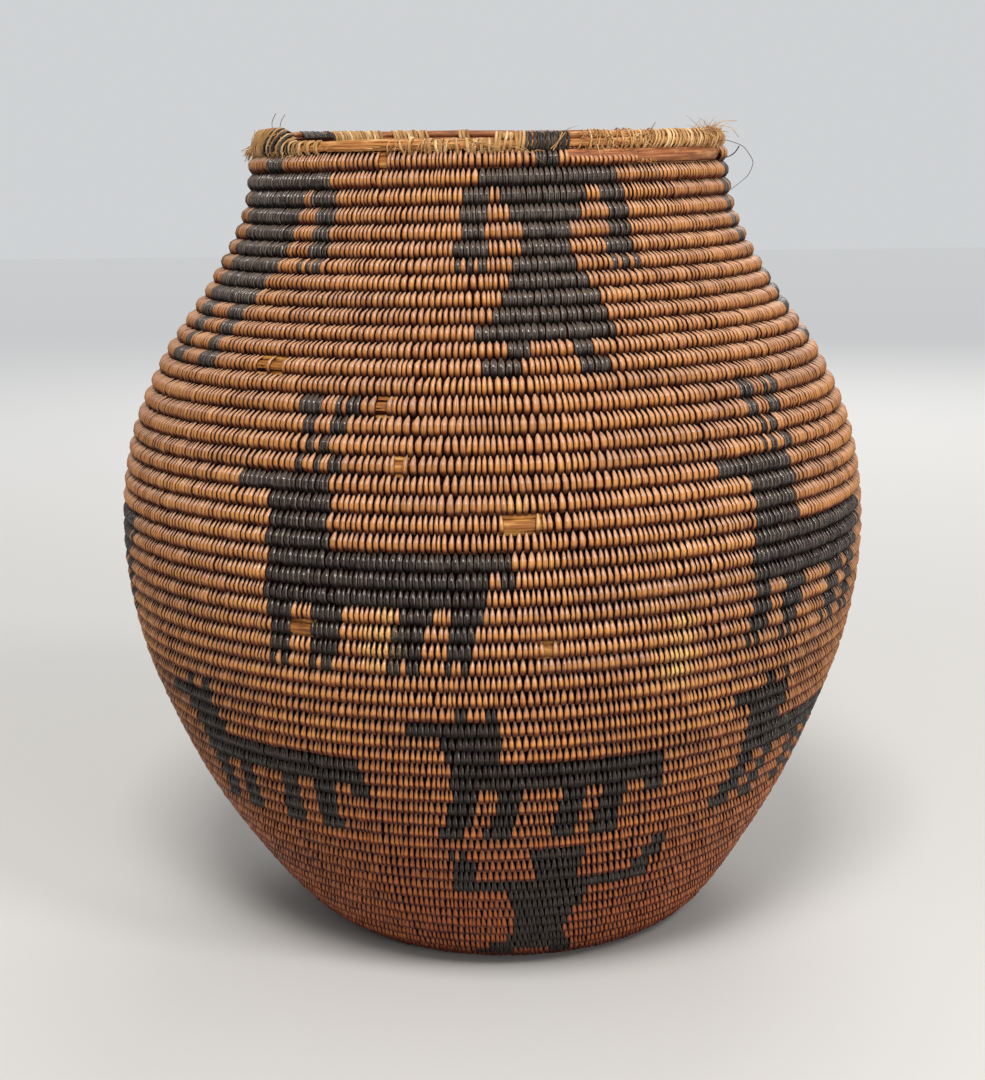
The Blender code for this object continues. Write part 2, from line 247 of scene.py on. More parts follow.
# %% [markdown]
# ## The figures
#
# The ornament is the usual one on such jars: people with outspread arms near the
# mouth and the foot, and two registers of deer between them. A figure is sewn from
# a count: so many dark stitches in this row, so many in the next. Each line below
# gives a row, counted down from the rim, and its dark runs, in stitches left and
# right of the figure's middle.

# %% Count sheets for the figures
PERSON = {
    1: [(-2.6, 4.6)], 2: [(-1.0, 3.0)], 3: [(-10.7, 13.4)],
    4: [(-12.6, -8.4), (-6.6, 7.5), (9.5, 14.4)],
    5: [(-13.6, -9.7), (-5.5, 6.2), (11.1, 14.9)],
    6: [(-13.8, -9.8), (-4.1, 4.5), (10.8, 15.0)],
    7: [(-14.9, -9.9), (-4.1, 4.2), (10.4, 15.3)],
    8: [(-15.2, -14.2), (-13.4, -12.4), (-11.5, -10.4), (-5.7, 4.8), (10.6, 11.6), (12.6, 13.5),
        (14.6, 15.6)],
    9: [(-6.7, 6.3)], 10: [(-8.8, 7.4)], 11: [(-10.7, 8.4)], 12: [(-13.1, 9.6)],
    13: [(-9.2, -5.7), (2.0, 5.3)], 14: [(-13.0, -7.2), (2.3, 7.8)],
}
DEER = {
    16: [(2.3, 6.2), (8.8, 10.0), (10.9, 13.2)], 17: [(3.6, 5.6), (8.9, 11.2)],
    18: [(5.0, 6.4), (7.4, 9.3)], 19: [(3.9, 5.4), (6.6, 8.2), (9.5, 11.4)],
    20: [(-6.7, 10.5)], 21: [(-0.5, 10.7)], 22: [(-0.2, 11.0)], 23: [(-0.2, 11.2)],
    24: [(-0.6, 40.5)], 25: [(-0.6, 37.4), (38.5, 40.7)], 26: [(-0.8, 36.8)],
    27: [(-0.3, 3.8), (7.7, 13.1), (22.4, 27.9), (31.3, 35.7)],
    28: [(-0.4, 3.5), (7.3, 12.5), (21.7, 26.9), (30.7, 34.9)],
    29: [(-0.8, 2.8), (6.8, 11.5), (21.0, 25.9), (30.0, 34.1)],
    30: [(-1.3, -0.2), (0.8, 2.0), (6.2, 7.4), (8.6, 10.4), (20.2, 21.6), (23.0, 25.0),
         (29.1, 30.6), (31.8, 33.4)],
}
LEFT_PERSON = {
    2: [(-2.0, 4.3)], 3: [(-17.0, 17.0)], 4: [(-18.3, -13.2), (-11.7, 11.7), (13.2, 18.3)],
    5: [(-19.3, -15.1), (-8.7, 11.1), (15.1, 19.3)],
    6: [(-19.7, -15.5), (-6.9, 10.9), (15.5, 19.7)],
    7: [(-20.6, -15.9), (-8.9, 10.9), (15.9, 20.6)],
    8: [(-20.5, -19.2), (-18.3, -16.9), (-16.2, -15.0), (-7.4, 10.8), (15.0, 16.2), (16.9, 18.3),
        (19.2, 20.5)],
    9: [(-9.1, 9.1)], 10: [(-11.1, 9.2)], 11: [(-11.3, -4.2), (2.5, 8.1)],
    12: [(-9.2, -4.0), (2.9, 7.7)], 13: [(-9.0, -5.0), (3.0, 6.0)], 14: [(-12.0, -5.3), (2.5, 8.3)],
}
SMALL_DEER = {
    33: [(0.7, 3.0), (5.4, 7.6)], 34: [(-7.0, 7.5)], 35: [(-1.9, 7.9)], 36: [(-1.3, 7.9)],
    37: [(-0.8, 35.0)], 38: [(-1.0, 35.0)],
    39: [(-0.4, 3.8), (6.8, 10.3), (17.5, 21.3), (24.4, 28.9), (31.6, 35.5)],
    40: [(-1.2, 3.2), (6.0, 9.5), (16.6, 20.4), (23.7, 27.9)],
    41: [(-2.2, 2.2), (5.0, 8.8), (15.7, 19.5), (22.8, 27.0)],
    42: [(-3.6, 0.8), (3.8, 8.0), (14.8, 18.6), (22.0, 26.7)],
}
LOW_PERSON = {
    44: [(-18.2, -17.2), (-16.2, -15.2), (-14.0, -13.0), (-4.6, 4.3), (16.8, 19.6)],
    45: [(-18.0, -14.0), (-4.2, 3.8), (15.4, 19.0)],
    46: [(-17.6, -14.2), (-4.0, 3.4), (13.6, 17.0)],
    47: [(-17.3, 16.6)], 48: [(-8.6, 5.8)], 49: [(-7.8, 5.0)], 50: [(-7.0, 3.6)], 51: [(-6.8, 2.6)],
    52: [(-6.8, 2.4)], 53: [(-7.6, 2.9)], 54: [(-10.6, 3.8)], 55: [(-12.6, -6.4), (0.6, 4.2)],
}
print("rows on the sheets",
      [len(sheet) for sheet in (PERSON, DEER, LEFT_PERSON, SMALL_DEER, LOW_PERSON)])

# %% [markdown]
# A sheet is laid on the winding by counting from its middle. Every stitch lies in
# some row above or below it, and so many stitch widths to its left or right. The
# figures that can't be seen from the front are set at the same spacing.

# %% Lay the sheets on the winding
COUNT_WIDTH = 0.002
FIGURES = [  # name, middle row, and for each figure its sheet and its degrees from the front
    ("dark_people_at_the_mouth", 7,
     [(LEFT_PERSON, -59.0)] + [(PERSON, at) for at in (11.5, 87.0, 158.0, 229.0)]),
    ("dark_deer_on_the_belly", 25, [(DEER, at) for at in (-100.0, -31.3, 38.5, 112.0, 186.0)]),
    ("dark_small_deer", 37,
     [(SMALL_DEER, at) for at in (-106.0, -53.8, -6.3, 43.2, 95.3, 147.4, 199.4)]),
    ("dark_people_at_the_foot", 49, [(LOW_PERSON, at) for at in (-109.5, 10.5, 130.5)]),
]


def sew_figures():
    """For every stitch, 0 for willow or the number of the figure band it is dark for."""
    dark = np.zeros(count, dtype=int)
    reach = radius_at(along_of(stitch_turn))
    for band, (_name, middle_row, places) in enumerate(FIGURES, start=1):
        for rows, degrees in places:
            off = stitch_turn - turn_at(degrees, middle_row)
            row = middle_row - np.round(off)
            across = (off - np.round(off)) * math.tau * reach / COUNT_WIDTH
            for course, spans in rows.items():
                for left, right in spans:
                    dark[(row == course) & (across >= left) & (across < right)] = band
    return dark


stitch_dark = sew_figures()
print("dark stitches by band", np.bincount(stitch_dark)[1:].tolist())

# %% [markdown]
# ## Splints have lengths, and hands are not machines
#
# A splint is a strip a hand or two long, so ten to thirty stitches in a row come
# from one strip and share its colour. Giving each strip its own shade, and each
# stitch a little of its own, gives the short runs of lighter and darker sewing
# that a real wall has. Random shades per stitch alone would look like noise.

# %% Shades and small faults
run_ends = np.cumsum(rng.integers(9, 28, size=count // 9))
splint_of = np.searchsorted(run_ends, np.arange(count), side="right")
splints = splint_of.max() + 1
splint_shade = rng.random(splints)[splint_of]
splint_width = rng.normal(0.0, 0.035, splints)[splint_of]
stitch_shade = rng.random(count)
stitch_slant = rng.normal(0.0, 0.035, count)
stitch_rise = rng.normal(0.0, 0.06, count)
stitch_full = np.where(stitch_dark > 0, 0.92, 0.88) + splint_width + rng.normal(0.0, 0.035, count)
stitch_lift = rng.normal(1.0, 0.15, count)
stitch_tilt = rng.normal(0.0, 0.32, count)
print("splints", splints)

# %% [markdown]
# Then there is the wear: spots where the sewing has broken and fallen away, and
# spots where a glossy yellow film, perhaps old resin, has run over it. The longest
# worn stretch lies in the second course, right of the front.

# %% Worn spots and glossy spots
BARE_SPOTS = [  # from, to (degrees from the front), course
    (1.6, 5.7, 22), (-28.4, -25.2, 28), (6.4, 7.9, 29), (-13.4, -12.2, 19), (-23.8, -22.4, 2),
    (-16.2, -15.0, 16), (-40.2, -38.4, 14), (-37.3, -35.2, 14), (140.0, 144.0, 18),
    (205.0, 208.0, 34), (96.0, 98.0, 26), (250.0, 253.0, 11)]
GLOSSY_SPOTS = [  # middle (degrees, course), half width in degrees, half height in courses
    (-15.0, 28.9, 2.6, 1.1), (-13.9, 27.4, 1.0, 0.6), (25.6, 30.4, 2.4, 1.6),
    (26.4, 28.2, 1.5, 0.8), (3.8, 21.6, 2.6, 0.6), (168.0, 24.0, 2.0, 1.2)]
OPEN_COURSE, HALF_FROM, BARE_FROM, BARE_TO, BOUND_FROM = 2, 17.6, 34.0, 72.0, -99.0


def between(first, last, course):
    return (stitch_turn > turn_at(first, course)) & (stitch_turn < turn_at(last, course))


worn = np.any([between(*spot) for spot in BARE_SPOTS], axis=0)
bare_side = between(BARE_FROM, BARE_TO, OPEN_COURSE)
half_sewn = between(HALF_FROM, BARE_FROM, OPEN_COURSE)
under_wraps = (stitch_turn > turn_at(BOUND_FROM, 1)) & (stitch_turn < RIM_TURN)
gloss = np.zeros(count)
for degrees, course, wide, tall in GLOSSY_SPOTS:
    off = stitch_turn - turn_at(degrees, round(course))
    rows_off = round(course) - course - np.round(off)
    far = np.hypot((off - np.round(off)) * 360.0 / wide, rows_off / tall)
    gloss = np.maximum(gloss, np.clip(1.5 - far, 0.0, 1.0) * (0.45 + 0.55 * rng.random(count)))
print("stitches worn away", int((worn | bare_side).sum()), "glossy", int((gloss > 0.2).sum()))

# %% [markdown]
# ## One stitch
#
# A stitch is a closed loop of flat splint round the bundle of rods. Outside, it
# starts as a pointed head between the feet of the row above, runs straight down over
# the top rod to a knee on the outer rod, and from there drops upright and narrows as
# it dives into the row below; inside the wall it does the same. The loop is a table
# of fourteen stops: how far along, how far out, and how wide. Its cut across is a
# low arch of six points, highest in the middle, because a splint keeps the round
# back of the shoot it was split from. A curve with a bevel could draw one stitch;
# for twenty thousand, arrays are a hundred times faster.

# %% The loop and the arch
LOOP = np.array([  # along (halves of a turn), out (of the bundle's half width), width
    (1.20, 0.30, 0.04), (1.02, 0.43, 0.24), (0.72, 0.61, 0.60), (0.36, 0.84, 0.89),
    (0.07, 1.02, 0.99), (-0.04, 1.05, 1.00), (-0.52, 1.01, 1.00), (-0.84, 0.72, 0.95),
    (-1.07, 0.20, 0.68), (-1.00, -0.45, 0.50), (-0.62, -0.90, 0.86), (0.00, -1.00, 1.00),
    (0.62, -0.90, 0.80), (1.04, -0.40, 0.35)])
# how far each stop lies in a groove: the finishes darken it there as painted shade
GROOVE = np.array([0.45, 0.15, 0.03, 0.0, 0.0, 0.0, 0.04, 0.35, 0.85, 0.9, 0.2, 0.1, 0.2, 0.9])
ARCH_SIDE = np.array([-0.50, -0.41, 0.0, 0.41, 0.50, 0.0])
ARCH_RISE = np.array([-0.25, 0.56, 0.86, 0.56, -0.25, -0.55])
BUNDLE_HALF, SPLINT_THICK = 0.00325, 0.00062
stitch_uneven = 1.0 + rng.normal(0.0, 0.045, (count, len(LOOP)))
print("stops", len(LOOP), "points across", len(ARCH_SIDE))

# %% [markdown]
# The function below lays any number of such loops at once. It needs the direction
# that points away from the loop at every stop, to raise the arch in, and it turns
# a step sideways into a step round the jar, which climbs a little with the winding.

# %% Lay the stitches
def loop_normals(along, out):
    """Unit normals, pointing away from a closed loop that runs down its outside."""
    d_along, d_out = np.roll(along, -1) - np.roll(along, 1), np.roll(out, -1) - np.roll(out, 1)
    size = np.hypot(d_along, d_out)
    return d_out / size, -d_along / size


def ring_points(turn, base, along, out, wide, slant, lift, tilt, thick):
    """Strips wound round a bundle: turn, base and the rest have one row per strip, and
    along, out and wide one column per stop. Returns points and the strips' own fibres."""
    n_along, n_out = loop_normals(along.mean(axis=0), out.mean(axis=0))
    slant, lift, tilt, foot = (row[:, None, None] for row in (slant, lift, tilt, base))
    side = ARCH_SIDE * wide[:, :, None]
    shift = (side + slant * along[:, :, None]) / radius_at(foot)
    narrow = np.clip(wide / wide.max(axis=1, keepdims=True) * 1.2, 0.3, 1.0)
    height = ARCH_RISE * thick * lift * (1 + tilt * ARCH_SIDE * 2) * narrow[:, :, None]
    climbed = half_height(turn)[:, None, None] * 2 * shift / math.tau
    a = foot + climbed + along[:, :, None] + n_along[None, :, None] * height
    o = out[:, :, None] + n_out[None, :, None] * height
    lengths = np.cumsum(np.hypot(np.diff(along, axis=1), np.diff(out, axis=1)), axis=1)
    run = np.concatenate([np.zeros((len(turn), 1)), lengths], axis=1)[:, :, None]
    own = (np.arange(len(turn)) * 3.1 + base * 1e4)[:, None, None]
    fibre = np.stack(np.broadcast_arrays(side * 1000, run * 1000, own), axis=-1)
    return place(angle_of(turn)[:, None, None] + shift, a, o), fibre


def sew(pick, loop=LOOP):
    """The picked stitches as points of stitch, stop and arch, and their fibres."""
    turn, wide = stitch_turn[pick], spacing[pick] * stitch_full[pick]
    along = loop[None, :, 0] * (half_height(turn) * (1 + stitch_rise[pick]))[:, None]
    out = np.broadcast_to(loop[None, :, 1] * BUNDLE_HALF, along.shape)
    wide = loop[None, :, 2] * stitch_uneven[pick] * wide[:, None]
    return ring_points(turn, along_of(turn), along, out, wide,
                       stitch_slant[pick], stitch_lift[pick], stitch_tilt[pick], SPLINT_THICK)


test_points, _ = sew(np.arange(500, 503))
test_span = np.ptp(test_points[0].reshape(-1, 3), axis=0)
print("one stitch spans, mm", np.round(test_span / MM, 2).tolist())

# %% [markdown]
# ## From arrays to a mesh
#
# Blender takes a mesh fastest when vertices, loops and faces are handed over as
# flat arrays. With the mesh go three attributes that the shader reads: `fibre`, a
# small flat map of each splint so that the grain can run along it wherever it
# goes; `shades`, the shade of the splint, of the stitch and its gloss; and `spot`,
# which tells grooves, upper and lower ends, and edges apart. The UV map gives
# every stitch its own cell of a grid, which a bake of the colours needs.

# %% Mesh builders
def make_piece(name, points, quads, uv, numbers, material, replaced=()):
    mesh = bpy.data.meshes.new(name)
    mesh.vertices.add(len(points))
    mesh.vertices.foreach_set("co", points.astype(np.float32).ravel())
    mesh.loops.add(quads.size)
    mesh.loops.foreach_set("vertex_index", quads.astype(np.int32).ravel())
    mesh.polygons.add(len(quads))
    mesh.polygons.foreach_set("loop_start", (np.arange(len(quads)) * 4).astype(np.int32))
    mesh.update(calc_edges=True)
    mesh.polygons.foreach_set("use_smooth", np.ones(len(quads), dtype=bool))
    mesh.uv_layers.new(name="OFBake").data.foreach_set("uv", uv.astype(np.float32).ravel())
    for key, values in numbers.items():
        mesh.attributes.new(key, "FLOAT_VECTOR", "POINT").data.foreach_set(
            "vector", values.reshape(-1, 3).astype(np.float32).ravel())
    mesh.materials.append(material)
    piece = bpy.data.objects.new(name, mesh)
    bpy.context.scene.collection.objects.link(piece)
    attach(piece, "root")
    if replaced:
        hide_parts(*replaced)


def grid_cells(cells):
    """The lower left corners of a square grid's cells, and how many stand side by side."""
    side = math.ceil(math.sqrt(cells))
    index = np.arange(cells)
    return index % side / side, index // side / side, side


def closed_loops(name, points, numbers, material, slot, replaced=(), outside=9):
    """A piece from closed loops: loop, stop, arch point, xyz. The first stops, those
    outside the wall, get more of the map than the ones inside it."""
    n, stops, arch, _ = points.shape
    i, s, a = np.meshgrid(np.arange(n), np.arange(stops), np.arange(arch), indexing="ij")
    s2, a2 = (s + 1) % stops, (a + 1) % arch
    base = i * stops * arch
    quads = np.stack([base + s * arch + a, base + s2 * arch + a,
                      base + s2 * arch + a2, base + s * arch + a2], axis=-1).reshape(-1, 4)
    u0, v0, side = grid_cells(n)
    room = np.where(np.arange(stops) < outside, 1.0, 0.45)
    edges = np.concatenate([[0.0], np.cumsum(room) / room.sum()])
    u = np.stack([a, a, a + 1, a + 1], axis=-1) / arch
    v = np.stack([edges[s], edges[s + 1], edges[s + 1], edges[s]], axis=-1)
    uv = np.stack([u0[i][..., None] + (0.06 + 0.88 * u) / side,
                   v0[i][..., None] + (0.03 + 0.94 * v) / side], axis=-1)
    make_piece(name, points.reshape(-1, 3), quads, uv, numbers, material, replaced)


print("a grid for 20 cells is", grid_cells(20)[2], "cells wide")

# %% [markdown]
# ## Writing shaders as sums
#
# Node trees are quickest to read when they are written as the formula they stand
# for. The small class below wraps one socket. Adding, taking away, multiplying or
# dividing it makes the Math node for it, and `1 - mask` works too.

# %% A socket that can be reckoned with
class Value:
    def __init__(self, shader, socket):
        self.shader, self.socket = shader, socket

    def maths(self, operation, *others):
        return self.shader.reckon(operation, self, *others)

    def __add__(self, other):
        return self.maths("ADD", other)

    def __sub__(self, other):
        return self.maths("SUBTRACT", other)

    def __rsub__(self, other):
        return self.shader.reckon("SUBTRACT", other, self)

    def __mul__(self, other):
        return self.maths("MULTIPLY", other)

    def __truediv__(self, other):
        return self.maths("DIVIDE", other)

    __radd__, __rmul__ = __add__, __mul__

    def clamp(self):
        return self.maths("MAXIMUM", 0.0).maths("MINIMUM", 1.0)

    def ramp(self, low, high):
        """0 at low, 1 at high, smooth between them and flat outside."""
        return self.shader.node("ShaderNodeMapRange", {"interpolation_type": "SMOOTHSTEP"},
                                {"Value": self, "From Min": low, "From Max": high})


print("a value has", [name for name in vars(Value) if not name.startswith("__")])

# %% [markdown]
# Everything that is not plain arithmetic comes from one method, `node`, which takes
# the node's type, its settings and what goes into its sockets. `layered` lays
# colours over one another, and `stitch_values` reads what the stitches carry: the
# shades of splint and stitch, the film, the groove, how far down the stitch, how
# near its edge, its fibre map, its height on the jar and how far it faces up.

# %% A finish and its nodes
class Shader:
    def __init__(self, name, world=None, **constants):
        self.material = world or bpy.data.materials.new(name)
        self.material.use_nodes = True
        self.tree = self.material.node_tree
        self.surface = self.tree.nodes["Background" if world else "Principled BSDF"]
        for socket, value in constants.items():
            self.surface.inputs[socket.replace("_", " ")].default_value = value

    def node(self, kind, settings=None, sockets=None, out=0):
        made = self.tree.nodes.new(kind)
        for key, value in (settings or {}).items():
            setattr(made, key, value)
        for key, value in (sockets or {}).items():
            self.put(made.inputs[key], value)
        return Value(self, made.outputs[out])

    def put(self, socket, value):
        if isinstance(value, Value):
            self.tree.links.new(value.socket, socket)
        else:
            socket.default_value = value

    def reckon(self, operation, *values):
        return self.node("ShaderNodeMath", {"operation": operation}, dict(enumerate(values)))

    def vector(self, name):
        return self.node("ShaderNodeAttribute", {"attribute_name": name}, out="Vector")

    def parts(self, vector):
        made = self.node("ShaderNodeSeparateXYZ", {}, {0: vector})
        return [Value(self, socket) for socket in made.socket.node.outputs]

    def stitch_values(self):
        high = self.parts(self.node("ShaderNodeNewGeometry", out="Position"))[2]
        up = self.parts(self.node("ShaderNodeNewGeometry", out="Normal"))[2]
        return [*self.parts(self.vector("shades")), *self.parts(self.vector("spot")),
                self.vector("fibre"), high, up]

    def noise(self, vector, scale, detail, stretch=None):
        if stretch:
            vector = self.node("ShaderNodeVectorMath", {"operation": "MULTIPLY"},
                               {0: vector, 1: stretch})
        return self.node("ShaderNodeTexNoise", {},
                         {"Vector": vector, "Scale": scale, "Detail": detail})

    def blend(self, amount, first, second, how="MIX"):
        return self.node("ShaderNodeMix", {"data_type": "RGBA", "blend_type": how},
                         {0: amount, 6: first, 7: second}, out=2)

    def layered(self, body, *layers):
        for amount, colour, *how in layers:
            body = self.blend(amount, body, colour, *how)
        return body

    def finish(self, colour, roughness, bump, distance=0.00012, strength=0.55, coat=0.0):
        normal = self.node("ShaderNodeBump", {},
                           {"Strength": strength, "Distance": distance, "Height": bump})
        made = {"Base Color": colour, "Roughness": roughness, "Coat Weight": coat, "Normal": normal}
        for socket, value in made.items():
            self.put(self.surface.inputs[socket], value)
        return self.material


print("a finish can", [name for name in vars(Shader) if not name.startswith("__")])

# %% [markdown]
# Colours are easiest to match as they look on screen, from 0 to 255. Shaders want
# them linear, so every colour of a finish goes through this function.

# %% Colours from the screen
def tone(*screen):
    """Red, green and blue from 0 to 255, made linear, with a fourth value for opacity."""
    return (*(((c / 255 + 0.055) / 1.055)**2.4 if c > 10 else c / 255 / 12.92 for c in screen), 1.0)


print("mid tan in linear light", [round(c, 3) for c in tone(181, 122, 69)])

# %% [markdown]
# ## Willow sewing
#
# Split willow is smooth, tan, faintly striped along its length and darkens with
# age and handling. On this jar the upper half is a dusty pink-tan and the lower
# half a deeper orange-brown. The colour is built in layers: height, then the
# splint's own shade, then the stitch's, then fine fibres along the splint, then
# painted light and shade. What faces up is painted lighter, the knee gets a painted
# golden highlight band and the tip a painted pale highlight. What faces down, the
# foot, the rounded sides, the edges, the grooves and in part the lower jar are
# painted dark as shade. The shader asks the surface's own direction for that, so
# it holds on the sloping neck and under the belly alike.

# %% The willow finish
def willow(name):
    s = Shader(name, Specular_IOR_Level=0.35, Coat_Roughness=0.17)
    splint, own, film, groove, down, edge, fibre, high, up = s.stitch_values()
    cloud = s.noise(s.node("ShaderNodeNewGeometry", out="Position"), 11.0, 3.0)
    streak = s.noise(fibre, 1.0, 3.0, (3.4, 0.24, 1.0))
    fleck = s.noise(fibre, 1.0, 2.0, (1.4, 1.1, 1.0))
    under = (0.0 - up).ramp(-0.05, 0.62).maths("MAXIMUM", 1.0 - down.ramp(-0.98, -0.42))
    rim = edge.ramp(0.40, 0.70)
    body = s.layered(
        tone(156, 78, 24),
        # height on the jar, then the splint's and the stitch's own shade
        ((high.ramp(0.01, 0.20) * 0.95 + cloud * 0.6 - 0.26).clamp(), tone(190, 124, 68)),
        (high.ramp(0.20, 0.28) * 0.55, tone(172, 116, 82)),
        (splint.ramp(0.50, 1.0) * 0.55, tone(224, 160, 84)),
        ((1.0 - splint.ramp(0.0, 0.45)) * 0.62, tone(110, 52, 22)),
        (cloud.ramp(0.52, 0.70) * 0.35, tone(128, 62, 30)),
        (own.ramp(0.3, 1.0) * 0.45, tone(214, 146, 62)),
        # painted light on what faces up, a painted highlight band at the knee, and the fibres
        (up.ramp(0.05, 0.75) * 0.48, tone(244, 204, 176)),
        ((1.0 - up * up * 5.0).clamp() * 0.34, tone(246, 184, 96)),
        (streak.ramp(0.50, 0.72) * 0.55, tone(100, 50, 22)),
        ((1.0 - streak.ramp(0.28, 0.46)) * 0.40, tone(250, 212, 160)),
        # painted shade at the foot, a painted highlight at the tip of the stitch, and the film
        ((1.0 - down.ramp(-0.85, 0.45)) * 0.60, (0.80, 0.62, 0.42, 1.0), "MULTIPLY"),
        (down.ramp(0.50, 1.12) * 0.40, tone(255, 226, 196)),
        (film * fleck.ramp(0.34, 0.56), tone(240, 208, 122)),
        # painted shade under the stitch and at its foot
        (under * 0.92, (0.34, 0.18, 0.09, 1.0), "MULTIPLY"),
        # darker low on the jar: partly its own deeper colour, partly painted shade
        (1.0 - high.ramp(0.015, 0.14), (0.72, 0.39, 0.15, 1.0), "MULTIPLY"),
        # a little darker all over above the foot
        (high.ramp(0.015, 0.13), (0.90, 0.87, 0.85, 1.0), "MULTIPLY"),
        # painted shade on the rounded sides, at the edges and in the grooves
        (edge.ramp(0.10, 0.46) * 0.62, (0.58, 0.44, 0.34, 1.0), "MULTIPLY"),
        (rim * 0.94, tone(46, 8, 1)),
        ((groove * 0.95).clamp(), tone(30, 5, 1)))
    dull = (groove + rim + under * 0.7).clamp()
    rough = (0.36 + streak * 0.16 + fleck * 0.12 + dull * 0.5 - film * 0.18).clamp()
    return s.finish(body, rough, streak + fleck * 0.5, coat=(0.50 + film * 0.3) * (1.0 - dull))


willow_sewing = willow("willow_sewing")
print("willow finish has", len(willow_sewing.node_tree.nodes), "nodes")

# %% [markdown]
# ## Devil's claw sewing
#
# The black splints are peeled from the horns of a dried seed pod. They are not
# painted: the black is the skin itself, a cold brown-black with a waxy sheen. It is
# faded to grey-brown high on the jar, where hands and light reach. Its edges are
# pale, partly from wear and partly as a painted highlight where they catch the
# light. What faces up is painted lighter, and what faces down, the edges and the
# grooves are painted dark as shade. The gloss does most of the work here.

# %% The devil's claw finish
def claw(name):
    s = Shader(name, Specular_IOR_Level=0.25, Coat_Roughness=0.11)
    splint, own, film, groove, down, edge, fibre, high, up = s.stitch_values()
    streak = s.noise(fibre, 1.0, 3.0, (3.6, 0.22, 1.0))
    fleck = s.noise(fibre, 1.0, 2.0, (1.6, 1.2, 1.0))
    faded = high.ramp(0.10, 0.25)
    # pale edges: partly wear, partly a painted highlight where the edges catch the light
    worn_and_lit_edge = edge.ramp(0.15, 0.45) * (1.0 - edge.ramp(0.50, 0.72)) * streak.ramp(0.40, 0.56)
    under = (0.0 - up).ramp(-0.1, 0.6).maths("MAXIMUM", 1.0 - down.ramp(-0.98, -0.42))
    rim = edge.ramp(0.60, 0.95)
    body = s.layered(
        tone(16, 7, 4),
        ((splint * 0.6 + own * 0.4 + streak * 0.5 - 0.3).clamp(), tone(40, 24, 17)),
        (high.ramp(0.15, 0.27) * 0.27, tone(68, 57, 51)),
        # painted light on what faces up, stronger high on the jar
        (up.ramp(0.1, 0.8) * (0.06 + 0.17 * high.ramp(0.12, 0.26)), tone(150, 134, 124)),
        (streak.ramp(0.58, 0.76) * (0.20 + 0.25 * faded), tone(120, 104, 94)),
        # pale edges, partly wear and partly a painted highlight
        (worn_and_lit_edge * (0.20 + 0.30 * faded), tone(170, 152, 138)),
        (film * 0.5 * fleck.ramp(0.4, 0.6), tone(196, 160, 92)),
        # painted shade under the stitch, at the edges and in the grooves
        (under * 0.85, (0.25, 0.20, 0.18, 1.0), "MULTIPLY"),
        (rim * 0.85, tone(10, 4, 2)),
        ((groove * 0.9).clamp(), tone(8, 4, 3)))
    dull = (groove + rim * 0.8 + under * 0.8).clamp()
    rough = (0.36 + streak * 0.18 + fleck * 0.12 + dull * 0.5).clamp()
    coat = (0.60 + 0.40 * high.ramp(0.14, 0.24)) * streak.ramp(0.28, 0.46) * (1.0 - dull)
    return s.finish(body, rough, streak + fleck * 0.5, coat=coat)


devils_claw = claw("devils_claw_sewing")
print("devil's claw finish has", len(devils_claw.node_tree.nodes), "nodes")

# %% [markdown]
# ## Rods and straw-coloured splints
#
# The rods are whole peeled shoots. Where the sewing has worn off they show as
# straight-grained wood, pale where it is freshly split and reddish where it has
# aged. Between the stitches they lie in shadow, and there they are painted a dark
# warm red-black, as painted shade. One function makes all of these, because they
# differ mostly in their four colours: dark, mid, light and stain.

# %% The finishes of bare wood
def plain_wood(name, *colours, rough=0.45, stain_amount=0.5, sheen=0.45):
    dark, mid, light, stain = (tone(*colour) for colour in colours)
    s = Shader(name, Specular_IOR_Level=sheen)
    fibre = s.vector("fibre")
    grain = s.noise(fibre, 1.0, 4.0, (3.0, 0.06, 3.0))
    line = s.noise(fibre, 1.0, 2.0, (7.0, 0.05, 7.0))
    patch = s.noise(fibre, 1.0, 2.0, (0.5, 0.10, 0.5))
    body = s.layered(dark, (grain.ramp(0.34, 0.66), mid), (patch.ramp(0.50, 0.70) * 0.8, light),
                     ((1.0 - patch.ramp(0.28, 0.46)) * stain_amount, stain),
                     ((1.0 - line.ramp(0.30, 0.40)) * 0.6, stain))
    return s.finish(body, (rough + grain * 0.2).clamp(), grain + line,
                    distance=0.0003, strength=0.6)


worn_wood = plain_wood(
    "worn_spot_wood", (132, 74, 26), (186, 122, 50), (222, 164, 84), (70, 30, 10))
bare_wood = plain_wood(
    "bare_rod_wood", (132, 74, 42), (184, 118, 72), (212, 152, 100), (74, 34, 18))
split_wood = plain_wood(
    "split_rod_wood", (166, 104, 50), (212, 150, 86), (240, 194, 130), (92, 48, 22))
# painted shade: the foundation rods show only in shadow, so they are painted near-black
shaded_wood = plain_wood(
    "shaded_rod_wood", (26, 5, 1), (44, 10, 3), (56, 18, 6), (16, 4, 1), rough=0.85, sheen=0.1)
knot_wood = plain_wood(
    "knot_wood", (110, 62, 30), (160, 100, 56), (190, 132, 80), (70, 36, 18))
straw = plain_wood("straw_splint", (156, 102, 50), (212, 168, 108), (240, 212, 160), (84, 44, 18),
                   stain_amount=0.55)
dark_strip = plain_wood("dark_splint_at_the_rim", (28, 22, 19), (52, 45, 40), (98, 88, 78),
                        (12, 9, 8), rough=0.32)
woods = (worn_wood, bare_wood, split_wood, shaded_wood, knot_wood, straw, dark_strip)
print("finishes of bare wood", [wood.name for wood in woods])

# %% [markdown]
# ## Tubes
#
# Rods, split strands and loose fibres are all tubes: a path and a radius, which
# may change along it. A builder takes any number of them and makes one piece. For
# a rod the path is counted in turns of the winding; for a stray fibre it is a
# curve in space. Each tube brings its own fibre map, in millimetres, so that the
# grain runs along it.

# %% Rings round a path
SIDEWAYS = np.array([0.31, 0.23, 0.92])


